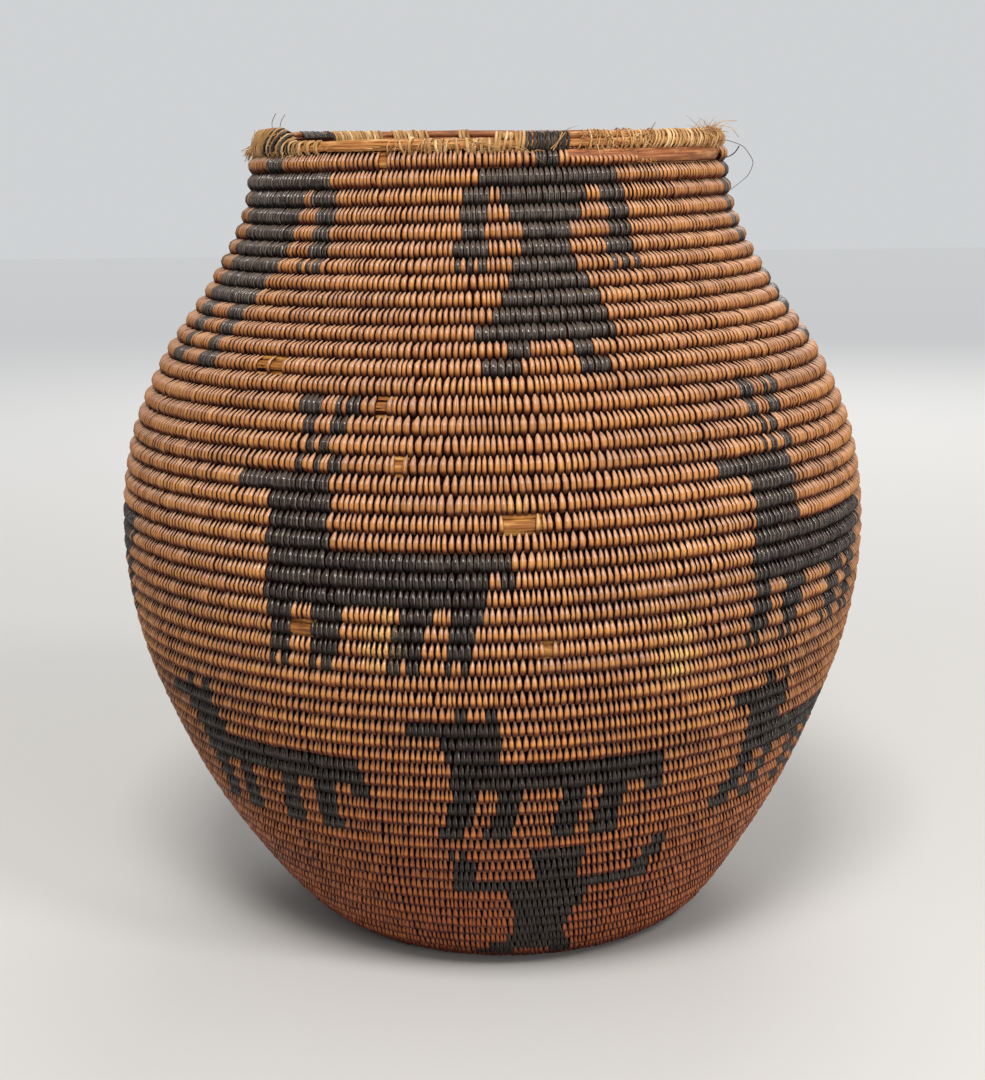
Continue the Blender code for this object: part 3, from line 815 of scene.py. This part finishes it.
def tube_fibres(path, radius, t, seed):
    run = np.concatenate([[0.0], np.cumsum(np.linalg.norm(np.diff(path, axis=0), axis=1))]) * 1000
    round_it = radius[:, None] * 1000
    return np.stack(np.broadcast_arrays(np.cos(t)[None] * round_it, run[:, None],
                                        np.sin(t)[None] * round_it + seed * 17.0), axis=-1)


def tube_along(path, radius, sides, seed=0.0):
    go = np.gradient(path, axis=0)
    go /= np.linalg.norm(go, axis=1, keepdims=True) + 1e-12
    across = np.cross(go, SIDEWAYS)
    across /= np.linalg.norm(across, axis=1, keepdims=True) + 1e-12
    up = np.cross(go, across)
    t = np.arange(sides) * math.tau / sides
    radius = np.broadcast_to(radius, len(path))
    rings = path[:, None] + radius[:, None, None] * (np.cos(t)[None, :, None] * across[:, None]
                                                     + np.sin(t)[None, :, None] * up[:, None])
    return rings, tube_fibres(path, radius, t, seed)


def rod_along(turns, along, out, radius, sides, wander, seed):
    """Rings of a rod that follows the winding; along is from the coil's middle line."""
    noise = np.random.default_rng(seed).normal(0.0, 1.0, (2, len(turns) + 6)) * wander
    noise = np.stack([np.convolve(row, np.ones(7) / 2.6, "valid") for row in noise])
    t = -np.arange(sides) * math.tau / sides
    radius = np.broadcast_to(radius, len(turns))
    a = (along_of(turns) + along + noise[0])[:, None] + radius[:, None] * np.sin(t)
    o = (np.broadcast_to(out, len(turns)) + noise[1])[:, None] + radius[:, None] * np.cos(t)
    rings = place(np.broadcast_to(angle_of(turns)[:, None], a.shape), a, o)
    return rings, tube_fibres(rings.mean(axis=1), radius, t, seed)


test_rings, _ = rod_along(np.linspace(20.0, 21.0, 25), 0.0, 0.0, 0.001, 6, 0.0, 1)
print("one turn of a test rod has", len(test_rings), "rings")

# %% [markdown]
# The piece builder joins rings into walls and closes both ends with a fan of four
# cornered faces. Every quad gets a cell of its own in the map for the bake.

# %% Tubes to one piece
def tubes_piece(name, tubes, material, slot, replaced=()):
    """One piece from any number of (rings, fibres), all with an even number of sides."""
    every, quads, uv, fibres, start, cell = [], [], [], [], 0, 0
    u0, v0, grid = grid_cells(sum(len(rings) - 1 for rings, _ in tubes))
    for rings, fibre in tubes:
        n, sides, _ = rings.shape
        i, s = np.meshgrid(np.arange(n - 1), np.arange(sides), indexing="ij")
        s2, far = (s + 1) % sides, (n - 1) * sides
        body = np.stack([i * sides + s, i * sides + s2,
                         (i + 1) * sides + s2, (i + 1) * sides + s], axis=-1)
        caps = []
        for k in range(0, sides, 2):
            k2 = (k + 2) % sides
            caps += [[n * sides, k2, k + 1, k], [n * sides + 1, far + k, far + k + 1, far + k2]]
        u = np.stack([s, s + 1, s + 1, s], axis=-1) / sides
        v = np.stack([i * 0, i * 0, i * 0 + 1, i * 0 + 1], axis=-1)
        flat = np.stack([u0[cell + i][..., None] + (0.08 + 0.84 * u) / grid,
                         v0[cell + i][..., None] + (0.08 + 0.84 * v) / grid], axis=-1)
        flat = flat.reshape(-1, 4, 2)
        uv += [flat, np.broadcast_to(flat[:1, :1] + 0.02 / grid, (len(caps), 4, 2))]
        quads += [body.reshape(-1, 4) + start, np.array(caps) + start]
        every += [rings.reshape(-1, 3), rings[0].mean(axis=0)[None], rings[-1].mean(axis=0)[None]]
        fibres += [fibre.reshape(-1, 3), fibre[0, :1], fibre[-1, :1]]
        start += n * sides + 2
        cell += n - 1
    make_piece(name, np.concatenate(every), np.concatenate(quads), np.concatenate(uv),
               {"fibre": np.concatenate(fibres)}, material, replaced)


print("tube builder ready")

# %% [markdown]
# ## The foundation
#
# Three rods run through every turn, two side by side and one on top in the valley
# between them, like logs. They are sized from the coil's own height so that one
# turn's top rod almost touches the next turn's pair. Almost nothing of them shows,
# yet without them light would leak through between the stitches.

# %% Wind the three rods
PAIR_DROP, TOP_RISE, PAIR_OUT, ROD_SIZE = -0.42, 0.52, 0.00142, 0.50
FOUNDATION = [("foundation_rod_outer", PAIR_DROP, PAIR_OUT),
              ("foundation_rod_inner", PAIR_DROP, -PAIR_OUT),
              ("foundation_rod_top", TOP_RISE, 0.0)]
rod_turns = np.arange(0.0, RIM_TURN + 1e-6, 1 / 48)
rod_half = half_height(rod_turns)
for seed, (name, up, out) in enumerate(FOUNDATION, start=1):
    rod = rod_along(rod_turns, up * rod_half, out, ROD_SIZE * rod_half, 6, 0.00003, seed)
    tubes_piece(name, [rod], shaded_wood, "willow_coil")
    wound = np.linalg.norm(np.diff(rod[0].mean(axis=1), axis=0), axis=1).sum()
    print(name, "length, m", round(float(wound), 1))

# %% [markdown]
# ## Sewing the wall
#
# Now the stitches become pieces: one piece for each length of coil in the frame,
# with its willow stitches, and two pieces for each band of dark figures, front and
# back, so that no piece grows too heavy. The lengths end where the frame's do, an
# eighth of a turn further round each time, so that the joins don't line up.

# %% Willow stitches by coil length, dark stitches by band
SEGMENTS, WALL_LENGTHS, LENGTH_SHIFT, SHIFT_CYCLE = 24, 18, 3, 4
CENTRE_TURNS = 4.5
STOP_SPOT = np.array([1.0, 0.45, 0.0, 0.45, 1.0, 1.0])
WILLOW, CLAW = (willow_sewing, "willow_coil"), (devils_claw, "dark_splints")


def sewn_piece(name, pick, material, slot, replaced=(), loop=LOOP):
    pick = np.nonzero(pick)[0]
    points, fibre = sew(pick, loop)
    shades = np.stack([splint_shade[pick], stitch_shade[pick], gloss[pick]], axis=-1)
    spot = np.stack(np.broadcast_arrays(GROOVE[None, :, None], loop[None, :, 0, None],
                                        STOP_SPOT[None, None, :]), axis=-1)
    numbers = {"fibre": fibre, "shades": np.broadcast_to(shades[:, None, None], points.shape),
               "spot": np.broadcast_to(spot, points.shape)}
    closed_loops(name, points, numbers, material, slot, replaced)


total = WALL_TURNS * SEGMENTS
cuts = [i * total // WALL_LENGTHS + LENGTH_SHIFT * (i % SHIFT_CYCLE) for i in range(WALL_LENGTHS)]
ends = [BASE_TURNS + cut / SEGMENTS for cut in (*cuts, total)]
sewn = ~worn & ~bare_side & ~half_sewn & ~under_wraps & (stitch_turn < RIM_TURN - 0.002)
for number, (first, last) in enumerate(zip(ends, ends[1:]), start=1):
    here = (stitch_turn >= first) & (stitch_turn < last) & sewn & (stitch_dark == 0)
    sewn_piece(f"willow_sewing_{number:02d}", here, *WILLOW, (f"wall_coil_{number:02d}",))
in_front = np.sin(angle_of(stitch_turn)) < 0
for band, (name, *_row_and_places) in enumerate(FIGURES, start=1):
    sewn_piece(name + "_front", (stitch_dark == band) & sewn & in_front, *CLAW)
    sewn_piece(name + "_back", (stitch_dark == band) & sewn & ~in_front, *CLAW)
outer_base = (stitch_turn >= CENTRE_TURNS) & (stitch_turn < BASE_TURNS) & (stitch_dark == 0)
sewn_piece("willow_sewing_base_inner", stitch_turn < CENTRE_TURNS, *WILLOW, ("base_coil_inner",))
sewn_piece("willow_sewing_base_outer", outer_base, *WILLOW, ("base_coil_outer",))

# %% [markdown]
# ## Worn spots below the mouth
#
# Where stitches have gone, lighter bare rods lie open. On the second course, right
# of the front, the sewing is lost for a hand's breadth: first a stretch where only
# the lower halves of the stitches are left over the rod, then a bare split rod.

# %% Bare rods in the worn spots
SPOT_RODS = [  # along in halves of a turn, out, radius, sides
    (-0.22, 0.00118, 0.00200, 10), (0.72, 0.00060, 0.00120, 8), (-1.00, 0.00060, 0.00095, 8)]


def open_rods(first, last, course, seed):
    turns = np.linspace(turn_at(first - 0.8, course), turn_at(last + 0.8, course), 8)
    half = half_height(turns)
    return [rod_along(turns, up * half, out, radius, sides, 0.00002, seed + i)
            for i, (up, out, radius, sides) in enumerate(SPOT_RODS)]


spots = []
for number, spot in enumerate(BARE_SPOTS):
    spots += open_rods(*spot, 40 + 3 * number)
tubes_piece("bare_rods_in_worn_spots", spots, worn_wood, "willow_coil")
print("worn spots", len(BARE_SPOTS))

# %% [markdown]
# The half-lost stitches are the same loop, squeezed towards its foot and a little
# fuller, so that they lie over the split rod. Where they end, the rod comes forward.

# %% The split rod below the mouth
HALF_LOOP = LOOP * np.array([0.64, 1.12, 1.0]) - np.array([0.36, 0.0, 0.0])
TORN_LOOP = LOOP * np.array([0.42, 0.9, 0.9]) - np.array([0.62, 0.0, 0.0])
ROD_STOPS, ROD_SPAN, BLUNT_STOPS = 90, (17.0, 69.5), 2.5


def strand_below(turns, up, out, radius, sides, wander, seed):
    return rod_along(turns, up * half_height(turns), out, radius, sides, wander, seed)


sewn_piece("half_lost_sewing_below_rim", half_sewn, *WILLOW, loop=HALF_LOOP)
side_turns = np.linspace(*(turn_at(end, OPEN_COURSE) for end in ROD_SPAN), ROD_STOPS)
blunt = np.sqrt(np.clip(np.linspace(ROD_STOPS, 0.0, ROD_STOPS) / BLUNT_STOPS, 0.03, 1.0))
uncovered = np.linspace(*ROD_SPAN, ROD_STOPS) > BARE_FROM
split_rod = strand_below(side_turns, np.where(uncovered, -0.05, 0.12),
                         np.where(uncovered, 0.00130, 0.00085), 0.00238 * blunt, 12, 0.00003, 71)
tubes_piece("split_rod_below_rim", [split_rod], bare_wood, "bare_rods", ("bare_rod_below_rim",))
low_turns = np.linspace(turn_at(32.0, OPEN_COURSE), turn_at(78.0, OPEN_COURSE), 60)
tubes_piece("split_strands_below_rim", [
    strand_below(low_turns, -0.84, 0.00060, 0.00080, 8, 0.00004, 72),
    strand_below(low_turns, 0.86, 0.00040, 0.00080, 8, 0.00006, 73),
    strand_below(low_turns[44:], 0.20, 0.00120, 0.00170, 8, 0.00006, 75),
    strand_below(low_turns[2:34], 0.62, 0.00262, 0.00026, 6, 0.00006, 74)], bare_wood, "bare_rods")
remnant = between(BARE_FROM, 39.5, OPEN_COURSE) & (stitch_shade > 0.45)
sewn_piece("torn_sewing_below_rim", remnant, *WILLOW, loop=TORN_LOOP)
print("stitches half lost", int(half_sewn.sum()), "torn", int(remnant.sum()))

# %% [markdown]
# ## The worn mouth
#
# The last turn was once sewn like the rest. Now most of its sewing is gone and its
# rods lie open, thinner towards the end of the winding. What sewing is left is
# wrapped round the bundle in short blocks, and it is paler than the wall, because
# the dirt of handling broke away with it. The rods' places are reckoned from the
# foot of the last turn. At its end, at the front left, the winding thins, dives into
# the turn below, and the two are bound together.

# %% The rods of the mouth
TAPER_START, TAPER_END = 0.62, 0.40
DIVE_FROM, DIVE_SPAN, DIVE_DEPTH = 299.0, 17.0, 0.0050
RIM_ROD, HALF_ROD_GAP, TOP_ROD_RISE = 0.00135, 0.00015, 0.00026


def rim_turn(degrees):
    return turn_at(degrees, 1)


def taper(degrees):
    """The rods' thickness as a share of the full one."""
    past = np.maximum(rim_turn(degrees) - RIM_TURN - TAPER_START, 0.0)
    return 1.0 - (1.0 - TAPER_END) * past / (1.0 - TAPER_START)


def rim_foot(turn):
    """From the coil's middle line down to its foot, which drops where the winding ends."""
    dive = np.clip((turn - rim_turn(DIVE_FROM)) * 360.0 / DIVE_SPAN, 0.0, 1.0)
    return -(half_height(turn) - TURN_GAP / 2) - DIVE_DEPTH * dive**2 * (3.0 - 2.0 * dive)


def rim_rod(which, first, last, seed):
    degrees = np.linspace(first, last, max(6, int((last - first) / 2.5)))
    turns, radius = rim_turn(degrees), RIM_ROD * taper(degrees)
    along, out = {"outer": (radius, radius + HALF_ROD_GAP),
                  "inner": (radius, -radius - HALF_ROD_GAP),
                  "top": (radius * 2.73 + TOP_ROD_RISE, 0.0 * radius)}[which]
    return rod_along(turns, rim_foot(turns) + along, out, radius, 10, 0.00007, seed)


RIM_RODS = [  # the solid it stands for, which rod, degrees, seed, finish
    ("rim_rod_outer", "outer", -51.0, 320.7, 81, split_wood),
    ("rim_rod_inner", "inner", -51.0, 320.7, 82, bare_wood),
    ("rim_rod_top_front", "top", 3.0, 84.0, 83, split_wood),
    ("rim_rod_top_back", "top", 141.0, 320.0, 84, bare_wood)]
for solid, which, first, last, seed, finish in RIM_RODS:
    tubes_piece(solid + "_bare", [rim_rod(which, first, last, seed)], finish, "bare_rods", (solid,))
print("rods of the mouth", len(RIM_RODS))

# %% [markdown]
# Rods split as they dry. Ten loose strands lie along the bundle, most of them at the
# front left where the sewing is torn, and they are given in millimetres.

# %% Split strands at the mouth
def rim_strand(first, last, along, out, radius, seed):
    degrees = np.linspace(first, last, max(5, int((last - first) / 1.6)))
    turns = rim_turn(degrees)
    return rod_along(turns, rim_foot(turns) + along * MM, out * MM, radius * MM, 6, 0.00012, seed)


STRANDS = [  # degrees, along, out, radius
    (-50, -12, 3.1, 0.8, 0.88), (-48, -8, 2.9, -0.8, 0.80), (-40, -20, 1.9, 2.6, 0.40),
    (-30, 2, 3.1, 0.0, 0.42), (-38, -26, 0.9, 2.9, 0.34), (-24, -6, 1.6, 2.8, 0.36),
    (18, 27, 2.2, 2.6, 0.50), (18.5, 26, 4.5, 1.2, 0.45), (86, 118, 3.0, 0.4, 0.55),
    (100, 139, 2.9, -0.3, 0.60)]
strands = [rim_strand(*strand, seed) for seed, strand in enumerate(STRANDS, start=91)]
tubes_piece("split_strands_at_the_rim", strands, split_wood, "bare_rods")
print("split strands", len(strands))

# %% [markdown]
# ## Wraps
#
# A wrap is a strip wound tightly round the bundle, so it is the stitch loop again
# on another path: over the top rod where there is one, over the lower pair only, or,
# at the left, round the last turn and the turn under it together. Each block has its
# own strip width, lean and looseness: a neat block has none, and a ruined one lets
# every strip wander, thin out and lean.

# %% The paths of the wraps
def mirrored(outside, crown, foot):
    """A path up the outside, over the crown and down the inside, in millimetres."""
    inside = [(along, -out) for along, out in reversed(outside)]
    return np.array([*outside, (crown, 0.0), *inside, (foot, 0.0)])[::-1] * MM


FOOT_STOPS = [(-1.1, 1.9), (0.1, 2.85)]
HIGH_PATH = mirrored(FOOT_STOPS + [(1.7, 3.15), (3.3, 2.55), (4.7, 1.35)], 5.25, -1.5)
LOW_PATH = mirrored(FOOT_STOPS + [(1.3, 3.15), (2.3, 2.75), (3.0, 1.6)], 3.15, -1.5)
TALL_PATH = np.array([(-6.2, 1.9), (-5.3, 2.85), (-3.4, 3.35), (-1.4, 3.05), (0.5, 2.5), (1.9, 1.9),
                      (3.0, 1.1), (3.45, 0.0), (3.0, -1.1), (1.9, -1.9), (0.0, -2.5), (-3.2, -3.3),
                      (-6.0, -2.6), (-6.8, 0.0)])[::-1] * MM
WRAP_RADIUS, WRAP_THICK = 0.0865, 0.00055
CREST_FROM, CREST_SPAN, CREST_FOOT = 300.0, 11.0, -0.003
print("stops of the three paths", [len(path) for path in (HIGH_PATH, LOW_PATH, TALL_PATH)])

# %% [markdown]
# On the tall path the crest sinks towards the end of the winding, where the bundle
# under it has thinned to nothing. Everything uneven in a block grows with `loose`.

# %% The sewing that is left on the mouth
def wraps(name, first, last, strip, finish, replaced, path, loose, seed, gap=1.0, lean=0.12):
    r = np.random.default_rng(seed)
    degrees = np.arange(first, last, math.degrees(strip / WRAP_RADIUS) * gap) + strip * 200
    n = len(degrees)
    degrees = degrees + r.normal(0.0, 0.5 * loose + 0.03, n)
    turns = rim_turn(degrees)
    spread = 1.0 + np.abs(r.normal(0.0, 0.10 * loose + 0.008, n))
    if path is TALL_PATH:
        crest = 1.0 - 0.80 * np.clip((degrees - CREST_FROM) / CREST_SPAN, 0.0, 1.0) ** 1.3
        foot, size = TURN_GAP / 2 - half_height(turns), spread
        above = path[None, :, 0] - CREST_FOOT
        along = CREST_FOOT + np.where(above > 0.0, above * crest[:, None], above)
    else:
        foot, size = rim_foot(turns), taper(degrees) * spread
        along = path[None, :, 0] * size[:, None]
    along = along + foot[:, None]
    wavy = 1.0 + r.normal(0.0, 0.05 * loose + 0.004, (n, len(path)))
    out = path[None, :, 1] * size[:, None] * wavy
    wide = strip * 0.93 * (1.0 - loose * 0.6 * r.random(n))
    wide = wide[:, None] * (1.0 - loose * 0.3 * r.random((n, len(path))))
    points, fibre = ring_points(turns, along_of(turns), along, out, wide,
                                lean + r.normal(0.0, 0.25 * loose + 0.02, n),
                                r.normal(0.8, 0.15, n), r.normal(0.0, 0.2, n), WRAP_THICK)
    closed_loops(name, points, {"fibre": fibre}, *finish, replaced, outside=12)


PALE, DARK = (straw, "pale_splints"), (dark_strip, "dark_splints")
WRAPS = [  # name, degrees, strip, finish, solids it stands for, path, loose, seed, gap, lean
    ("wraps_front_straw", 1.6, 8.0, 0.0015, PALE, ("wrap_front_pale",),
     HIGH_PATH, 0.45, 5),
    ("wraps_front_dark", 8.1, 17.7, 0.0010, DARK, ("wrap_front_dark",),
     HIGH_PATH, 0.16, 6, 0.94),
    ("wraps_right_straw", 36.0, 62.0, 0.00115, PALE, ("wrap_right_pale",),
     HIGH_PATH, 0.34, 7, 1.55, 0.45),
    ("wraps_right_ragged", 21.0, 36.0, 0.0008, PALE, (), HIGH_PATH, 0.9, 20, 2.4, 0.15),
    ("wraps_back_straw_small", 185.5, 188.5, 0.0017, PALE, ("wrap_back_pale_small",),
     HIGH_PATH, 0.0, 8),
    ("wraps_back_straw_short", 197.5, 208.5, 0.0017, PALE, ("wrap_back_pale_short",),
     HIGH_PATH, 0.1, 9),
    ("wraps_back_straw_long", 212.0, 228.0, 0.0017, PALE, ("wrap_back_pale_long",),
     HIGH_PATH, 0.1, 10),
    ("wraps_back_dark", 228.6, 242.0, 0.0016, DARK, ("wrap_back_dark",),
     HIGH_PATH, 0.0, 12),
    ("wraps_left_straw", 262.0, 297.0, 0.0020, PALE, ("wrap_left_pale",),
     TALL_PATH, 0.30, 13, 0.85, 0.50),
    ("wraps_left_dark", 297.4, 310.0, 0.0022, DARK, ("wrap_left_dark",),
     TALL_PATH, 0.2, 14, 2.1, 0.60),
    ("wraps_left_between", 299.2, 311.0, 0.0020, PALE, (), TALL_PATH, 0.3, 15, 2.3, 0.60),
    ("wraps_end_straw", 309.0, 319.8, 0.0011, PALE, ("wrap_end_pale",),
     TALL_PATH, 0.6, 16, 1.25, 0.30),
    ("thin_wraps_front_left", -22.6, -16.0, 0.0005, PALE, (), LOW_PATH, 0.6, 17, 16.0),
    ("torn_wraps_front", -20.5, -13.0, 0.0013, PALE, (), LOW_PATH, 1.0, 18, 1.5),
    ("torn_wraps_middle", -12.5, 1.5, 0.0016, PALE, (), LOW_PATH, 0.7, 22, 1.15, -0.1),
    ("thin_wraps_right", 63.0, 84.0, 0.0006, PALE, (), HIGH_PATH, 0.8, 19, 5.0),
]
for block in WRAPS:
    wraps(*block)
print("wrapped blocks", len(WRAPS))

# %% [markdown]
# ## Frays and threads
#
# Broken splints end in hair-thin fibres. Each is a short curve that starts on the
# rim, leaves at its own angle and droops or curls; a few hundred of them make the
# ragged brushes round the mouth. A few long ones are drawn one by one, such as the
# loop hanging off the right side and the pale threads across the dark block. Their
# tables are in millimetres, reckoned from the foot of the last turn.

# %% Loose fibres
def rim_spot(degrees, along, out):
    """A place at degrees from the front, along from the rim's foot and out from mid-wall."""
    turn = rim_turn(degrees)
    return place(np.array(angle_of(turn)), along_of(turn) + rim_foot(turn) + along * MM,
                 np.array(out * MM))


def fibre_tube(start, go, length, curl, radius, r):
    t = np.linspace(0.0, 1.0, 10)[:, None]
    side = np.cross(go, [0.0, 0.0, 1.0])
    wave = side * np.sin(t * r.uniform(3.0, 7.0) + r.uniform(0, 6)) * length * 0.06 * t
    path = start + go * length * t + curl * length * t**2 + wave
    return tube_along(path, radius * (1.0 - 0.75 * t[:, 0]), 4, seed=r.random())


def fray(name, first, last, number, lengths, lift, out, up, seed, radius=0.13):
    """A brush of fibres: how many, how long, how far they rise, and where they start."""
    r = np.random.default_rng(seed)
    tubes = []
    for _ in range(number):
        degrees, start_out, start_up = r.uniform(first, last), r.uniform(*out), r.uniform(*up)
        start = rim_spot(degrees, start_up, start_out)
        angle = angle_of(rim_turn(degrees))
        radial = np.array([math.cos(angle), math.sin(angle), 0.0])
        round_way = np.array([-radial[1], radial[0], 0.0])
        go = (radial * r.normal(0.5, 0.5) + round_way * r.normal(0.1, 0.9)
              + np.array([0, 0, r.normal(lift, 0.45)]))
        go /= np.linalg.norm(go)
        curl = (np.array([0, 0, -r.uniform(0.1, 0.7)]) + round_way * r.normal(0.0, 0.35)
                - radial * r.uniform(0, 0.3))
        tubes.append(fibre_tube(start, go, r.uniform(*lengths) * MM, curl,
                                radius * MM * r.uniform(0.6, 1.3), r))
    tubes_piece(name, tubes, *PALE)


FRAYS = [  # name, first and last degrees, number, lengths, lift, out, up, seed, radius
    ("frayed_brush_right", 58, 74, 130, (3, 9), 0.60, (-2, 3), (1, 5.2), 31),
    ("frayed_tangle_right", 20, 40, 90, (2, 5), 0.0, (1.5, 3.4), (0, 4.6), 32, 0.24),
    ("frayed_splints_front", -20, 9, 110, (2, 6), 0.05, (1, 3.5), (-0.5, 3), 33),
    ("frayed_brush_left", 264, 303, 36, (2, 4.5), 0.10, (1, 2.6), (0, 3), 34, 0.17),
    ("frayed_splints_left_below", 262, 284, 60, (3, 6), -0.35, (2.6, 3.4), (-5.2, -2.2), 38, 0.24),
    ("frayed_brush_left_end", 297, 313, 60, (2, 5), -0.10, (1.5, 3.2), (-5.2, -1), 35),
    ("frayed_splints_back", 84, 262, 90, (2, 6), 0.3, (-3, 3), (0, 4.5), 36),
    ("frayed_splints_below_rim", 30, 41, 34, (1.5, 4), 0.0, (2.5, 3.2), (-5.8, -3), 37),
]
for brush in FRAYS:
    fray(*brush)
print("fibres", sum(brush[3] for brush in FRAYS))

# %% [markdown]
# A drawn thread is a handful of points, joined by straight runs and then rounded by
# averaging each point with its neighbours a dozen times over.

# %% Threads drawn one by one
def drawn_thread(radius, *points):
    """A smooth curve through points given as degrees from the front, along and out."""
    spots = np.array([rim_spot(*point) for point in points])
    t, fine = np.arange(len(spots)), np.linspace(0, len(spots) - 1, 10 * len(spots))
    path = np.stack([np.interp(fine, t, spots[:, k]) for k in range(3)], axis=1)
    for _ in range(12):
        path[1:-1] = (path[:-2] + 2 * path[1:-1] + path[2:]) / 4
    return tube_along(path, radius * MM, 6)


DARK_THREADS = [  # radius, then degrees, along and out
    (0.11, (66, 0, 3), (69, 0.8, 6), (72, -2, 11.5), (75, -8, 14), (75, -13, 11.5), (73, -17, 5)),
    (0.20, (71, -6, 2.6), (73, -5, 6.2), (73, -4, 8), (71.5, -2, 10)),
    (0.11, (296, 3, 1), (297, 5.5, 2), (300, 8.2, 2.6)),
    (0.10, (299, 3.2, 0), (301, 6, 1), (302, 8.4, 0.4)),
]
PALE_THREADS = [
    (0.22, (16.4, 4.7, 2.6), (15.2, 1.5, 4), (14, -1.2, 3.6)),
    (0.16, (17, 4.4, 2.6), (15.4, 2, 4.1), (13.4, -0.8, 3.7)),
    (0.14, (9.4, -1.6, 3.8), (10.6, -1, 4.1), (12, -1.4, 3.9)),
    (0.22, (-4, 0.2, 3.6), (-1, 2, 5), (1.8, -0.6, 4)),
    (0.18, (-3.5, 2.4, 3.4), (-0.6, 0.8, 5.2), (2.4, 0, 4.2)),
    (0.13, (60, 3, 2), (66, 5.8, 3.5), (71, 7.2, 6), (74, 6.6, 9.5)),
    (0.11, (61, 4, 1), (67, 6.2, 4), (70, 4.5, 8.5), (72, 1, 10)),
]
tubes_piece("dark_loose_threads", [drawn_thread(*thread) for thread in DARK_THREADS], *DARK)
tubes_piece("loose_threads", [drawn_thread(*thread) for thread in PALE_THREADS], *PALE)
print("threads", len(PALE_THREADS) + len(DARK_THREADS))

# %% [markdown]
# ## The start of the coil
#
# Under the base, the winding starts from a small knot. The frame's own knot has the
# right shape, so it stays and only gets the willow rods' finish.

# %% The knot keeps its shape and gets its wood
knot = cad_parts["start_knot"]
for knot_slot in knot.material_slots:
    knot_slot.material = knot_wood
print("knot keeps", len(knot.data.polygons), "faces")

# %% [markdown]
# ## Floor, light and camera
#
# The camera looks down on the jar by eleven degrees and leans by less than one. The
# lamps are soft and stand high, at the side, low and behind, so that each stitch has
# a highlight on its upper shoulder and a shadow under it. The sky, and the floor far
# away, are lighter to the camera's eye only, which keeps them from throwing more
# light on the jar.

# %% Set the stage
FLOOR_REACH, GLOW_REACH = 6.0, 1.2
FLOOR_PAINT = (0.70, 0.695, 0.68, 1.0)
NO_GLOW, FAR_GLOW = (0.0, 0.0, 0.0, 1.0), (0.40, 0.415, 0.43, 1.0)
DIM_SKY, BACKGROUND = (0.28, 0.28, 0.28, 1.0), (0.63, 0.645, 0.66, 1.0)
LAMP_AIM, LAMP_COLOUR = Vector((0.0, 0.0, 0.15)), (1.0, 0.97, 0.93)
LAMPS = [  # name, size, watts, place
    ("key_softbox", 0.5, 19.0, (-0.10, -0.95, 1.45)),
    ("side_softbox", 0.28, 6.0, (0.80, -0.95, 1.20)),
    ("low_softbox", 0.4, 4.0, (0.80, -1.20, 0.40)),
    ("back_softbox", 1.2, 11.0, (0.3, 1.5, 1.3))]


def make_floor():
    mesh = bpy.data.meshes.new("floor")
    corners = np.array([(-1, -1, 0), (1, -1, 0), (1, 1, 0), (-1, 1, 0)]) * FLOOR_REACH
    mesh.from_pydata(corners.tolist(), [], [(0, 1, 2, 3)])
    floor = bpy.data.objects.new("floor", mesh)
    bpy.context.scene.collection.objects.link(floor)
    paint = Shader("floor_paint", Base_Color=FLOOR_PAINT, Roughness=0.75, Emission_Strength=1.0)
    x, y, _height = paint.parts(paint.node("ShaderNodeNewGeometry", out="Position"))
    away = x * x + y * y
    far = away / (away + GLOW_REACH) * paint.node("ShaderNodeLightPath", out="Is Camera Ray")
    paint.put(paint.surface.inputs["Emission Color"], paint.blend(far, NO_GLOW, FAR_GLOW))
    mesh.materials.append(paint.material)


def area_light(name, size, watts, at):
    lamp = bpy.data.lights.new(name, "AREA")
    lamp.shape, lamp.size, lamp.energy, lamp.color = "SQUARE", size, watts, LAMP_COLOUR
    holder = bpy.data.objects.new(name, lamp)
    holder.location = at
    holder.rotation_euler = (LAMP_AIM - Vector(at)).to_track_quat("-Z", "Y").to_euler()
    bpy.context.scene.collection.objects.link(holder)


make_floor()
for lamp_row in LAMPS:
    area_light(*lamp_row)
world = bpy.data.worlds.new("studio_sky")
sky = Shader("studio_sky", world)
seen = sky.node("ShaderNodeLightPath", out="Is Camera Ray")
sky.put(sky.surface.inputs["Color"], sky.blend(seen, DIM_SKY, BACKGROUND))
bpy.context.scene.world = world
print("lamps, W", {name: watts for name, _size, watts, _at in LAMPS})

# %% [markdown]
# The camera's lens is reckoned from the picture: how many pixels wide the frame is,
# and how many pixels away the eye would be at that scale. Its place is written in
# belly radii, because that is how it was measured.

# %% Point the camera
FOCAL_PIXELS, FRAME_WIDTH, SENSOR_WIDTH = 1820.0, 985.0, 36.0
CAMERA_SIDE, CAMERA_BACK, CAMERA_DROP = -0.00014, 4.97 * BELLY_RADIUS, 0.109 * BELLY_RADIUS
LOOK_DOWN, CAMERA_LEAN = 11.33, -0.72
camera_data = bpy.data.cameras.new("camera")
camera_data.sensor_fit, camera_data.sensor_width = "HORIZONTAL", SENSOR_WIDTH
camera_data.lens = FOCAL_PIXELS / FRAME_WIDTH * SENSOR_WIDTH
camera = bpy.data.objects.new("camera", camera_data)
camera.matrix_world = (Matrix.Translation((CAMERA_SIDE, -CAMERA_BACK, BODY_HEIGHT - CAMERA_DROP))
                       @ Matrix.Rotation(math.radians(90.0 - LOOK_DOWN), 4, "X")
                       @ Matrix.Rotation(math.radians(CAMERA_LEAN), 4, "Z"))
bpy.context.scene.collection.objects.link(camera)
bpy.context.scene.camera = camera
bpy.context.scene.view_settings.view_transform = "Standard"
print("lens, mm", round(camera_data.lens, 1))

# %% [markdown]
# The visual pieces may stand a little proud of the frame's solids, never more than
# a few per cent.
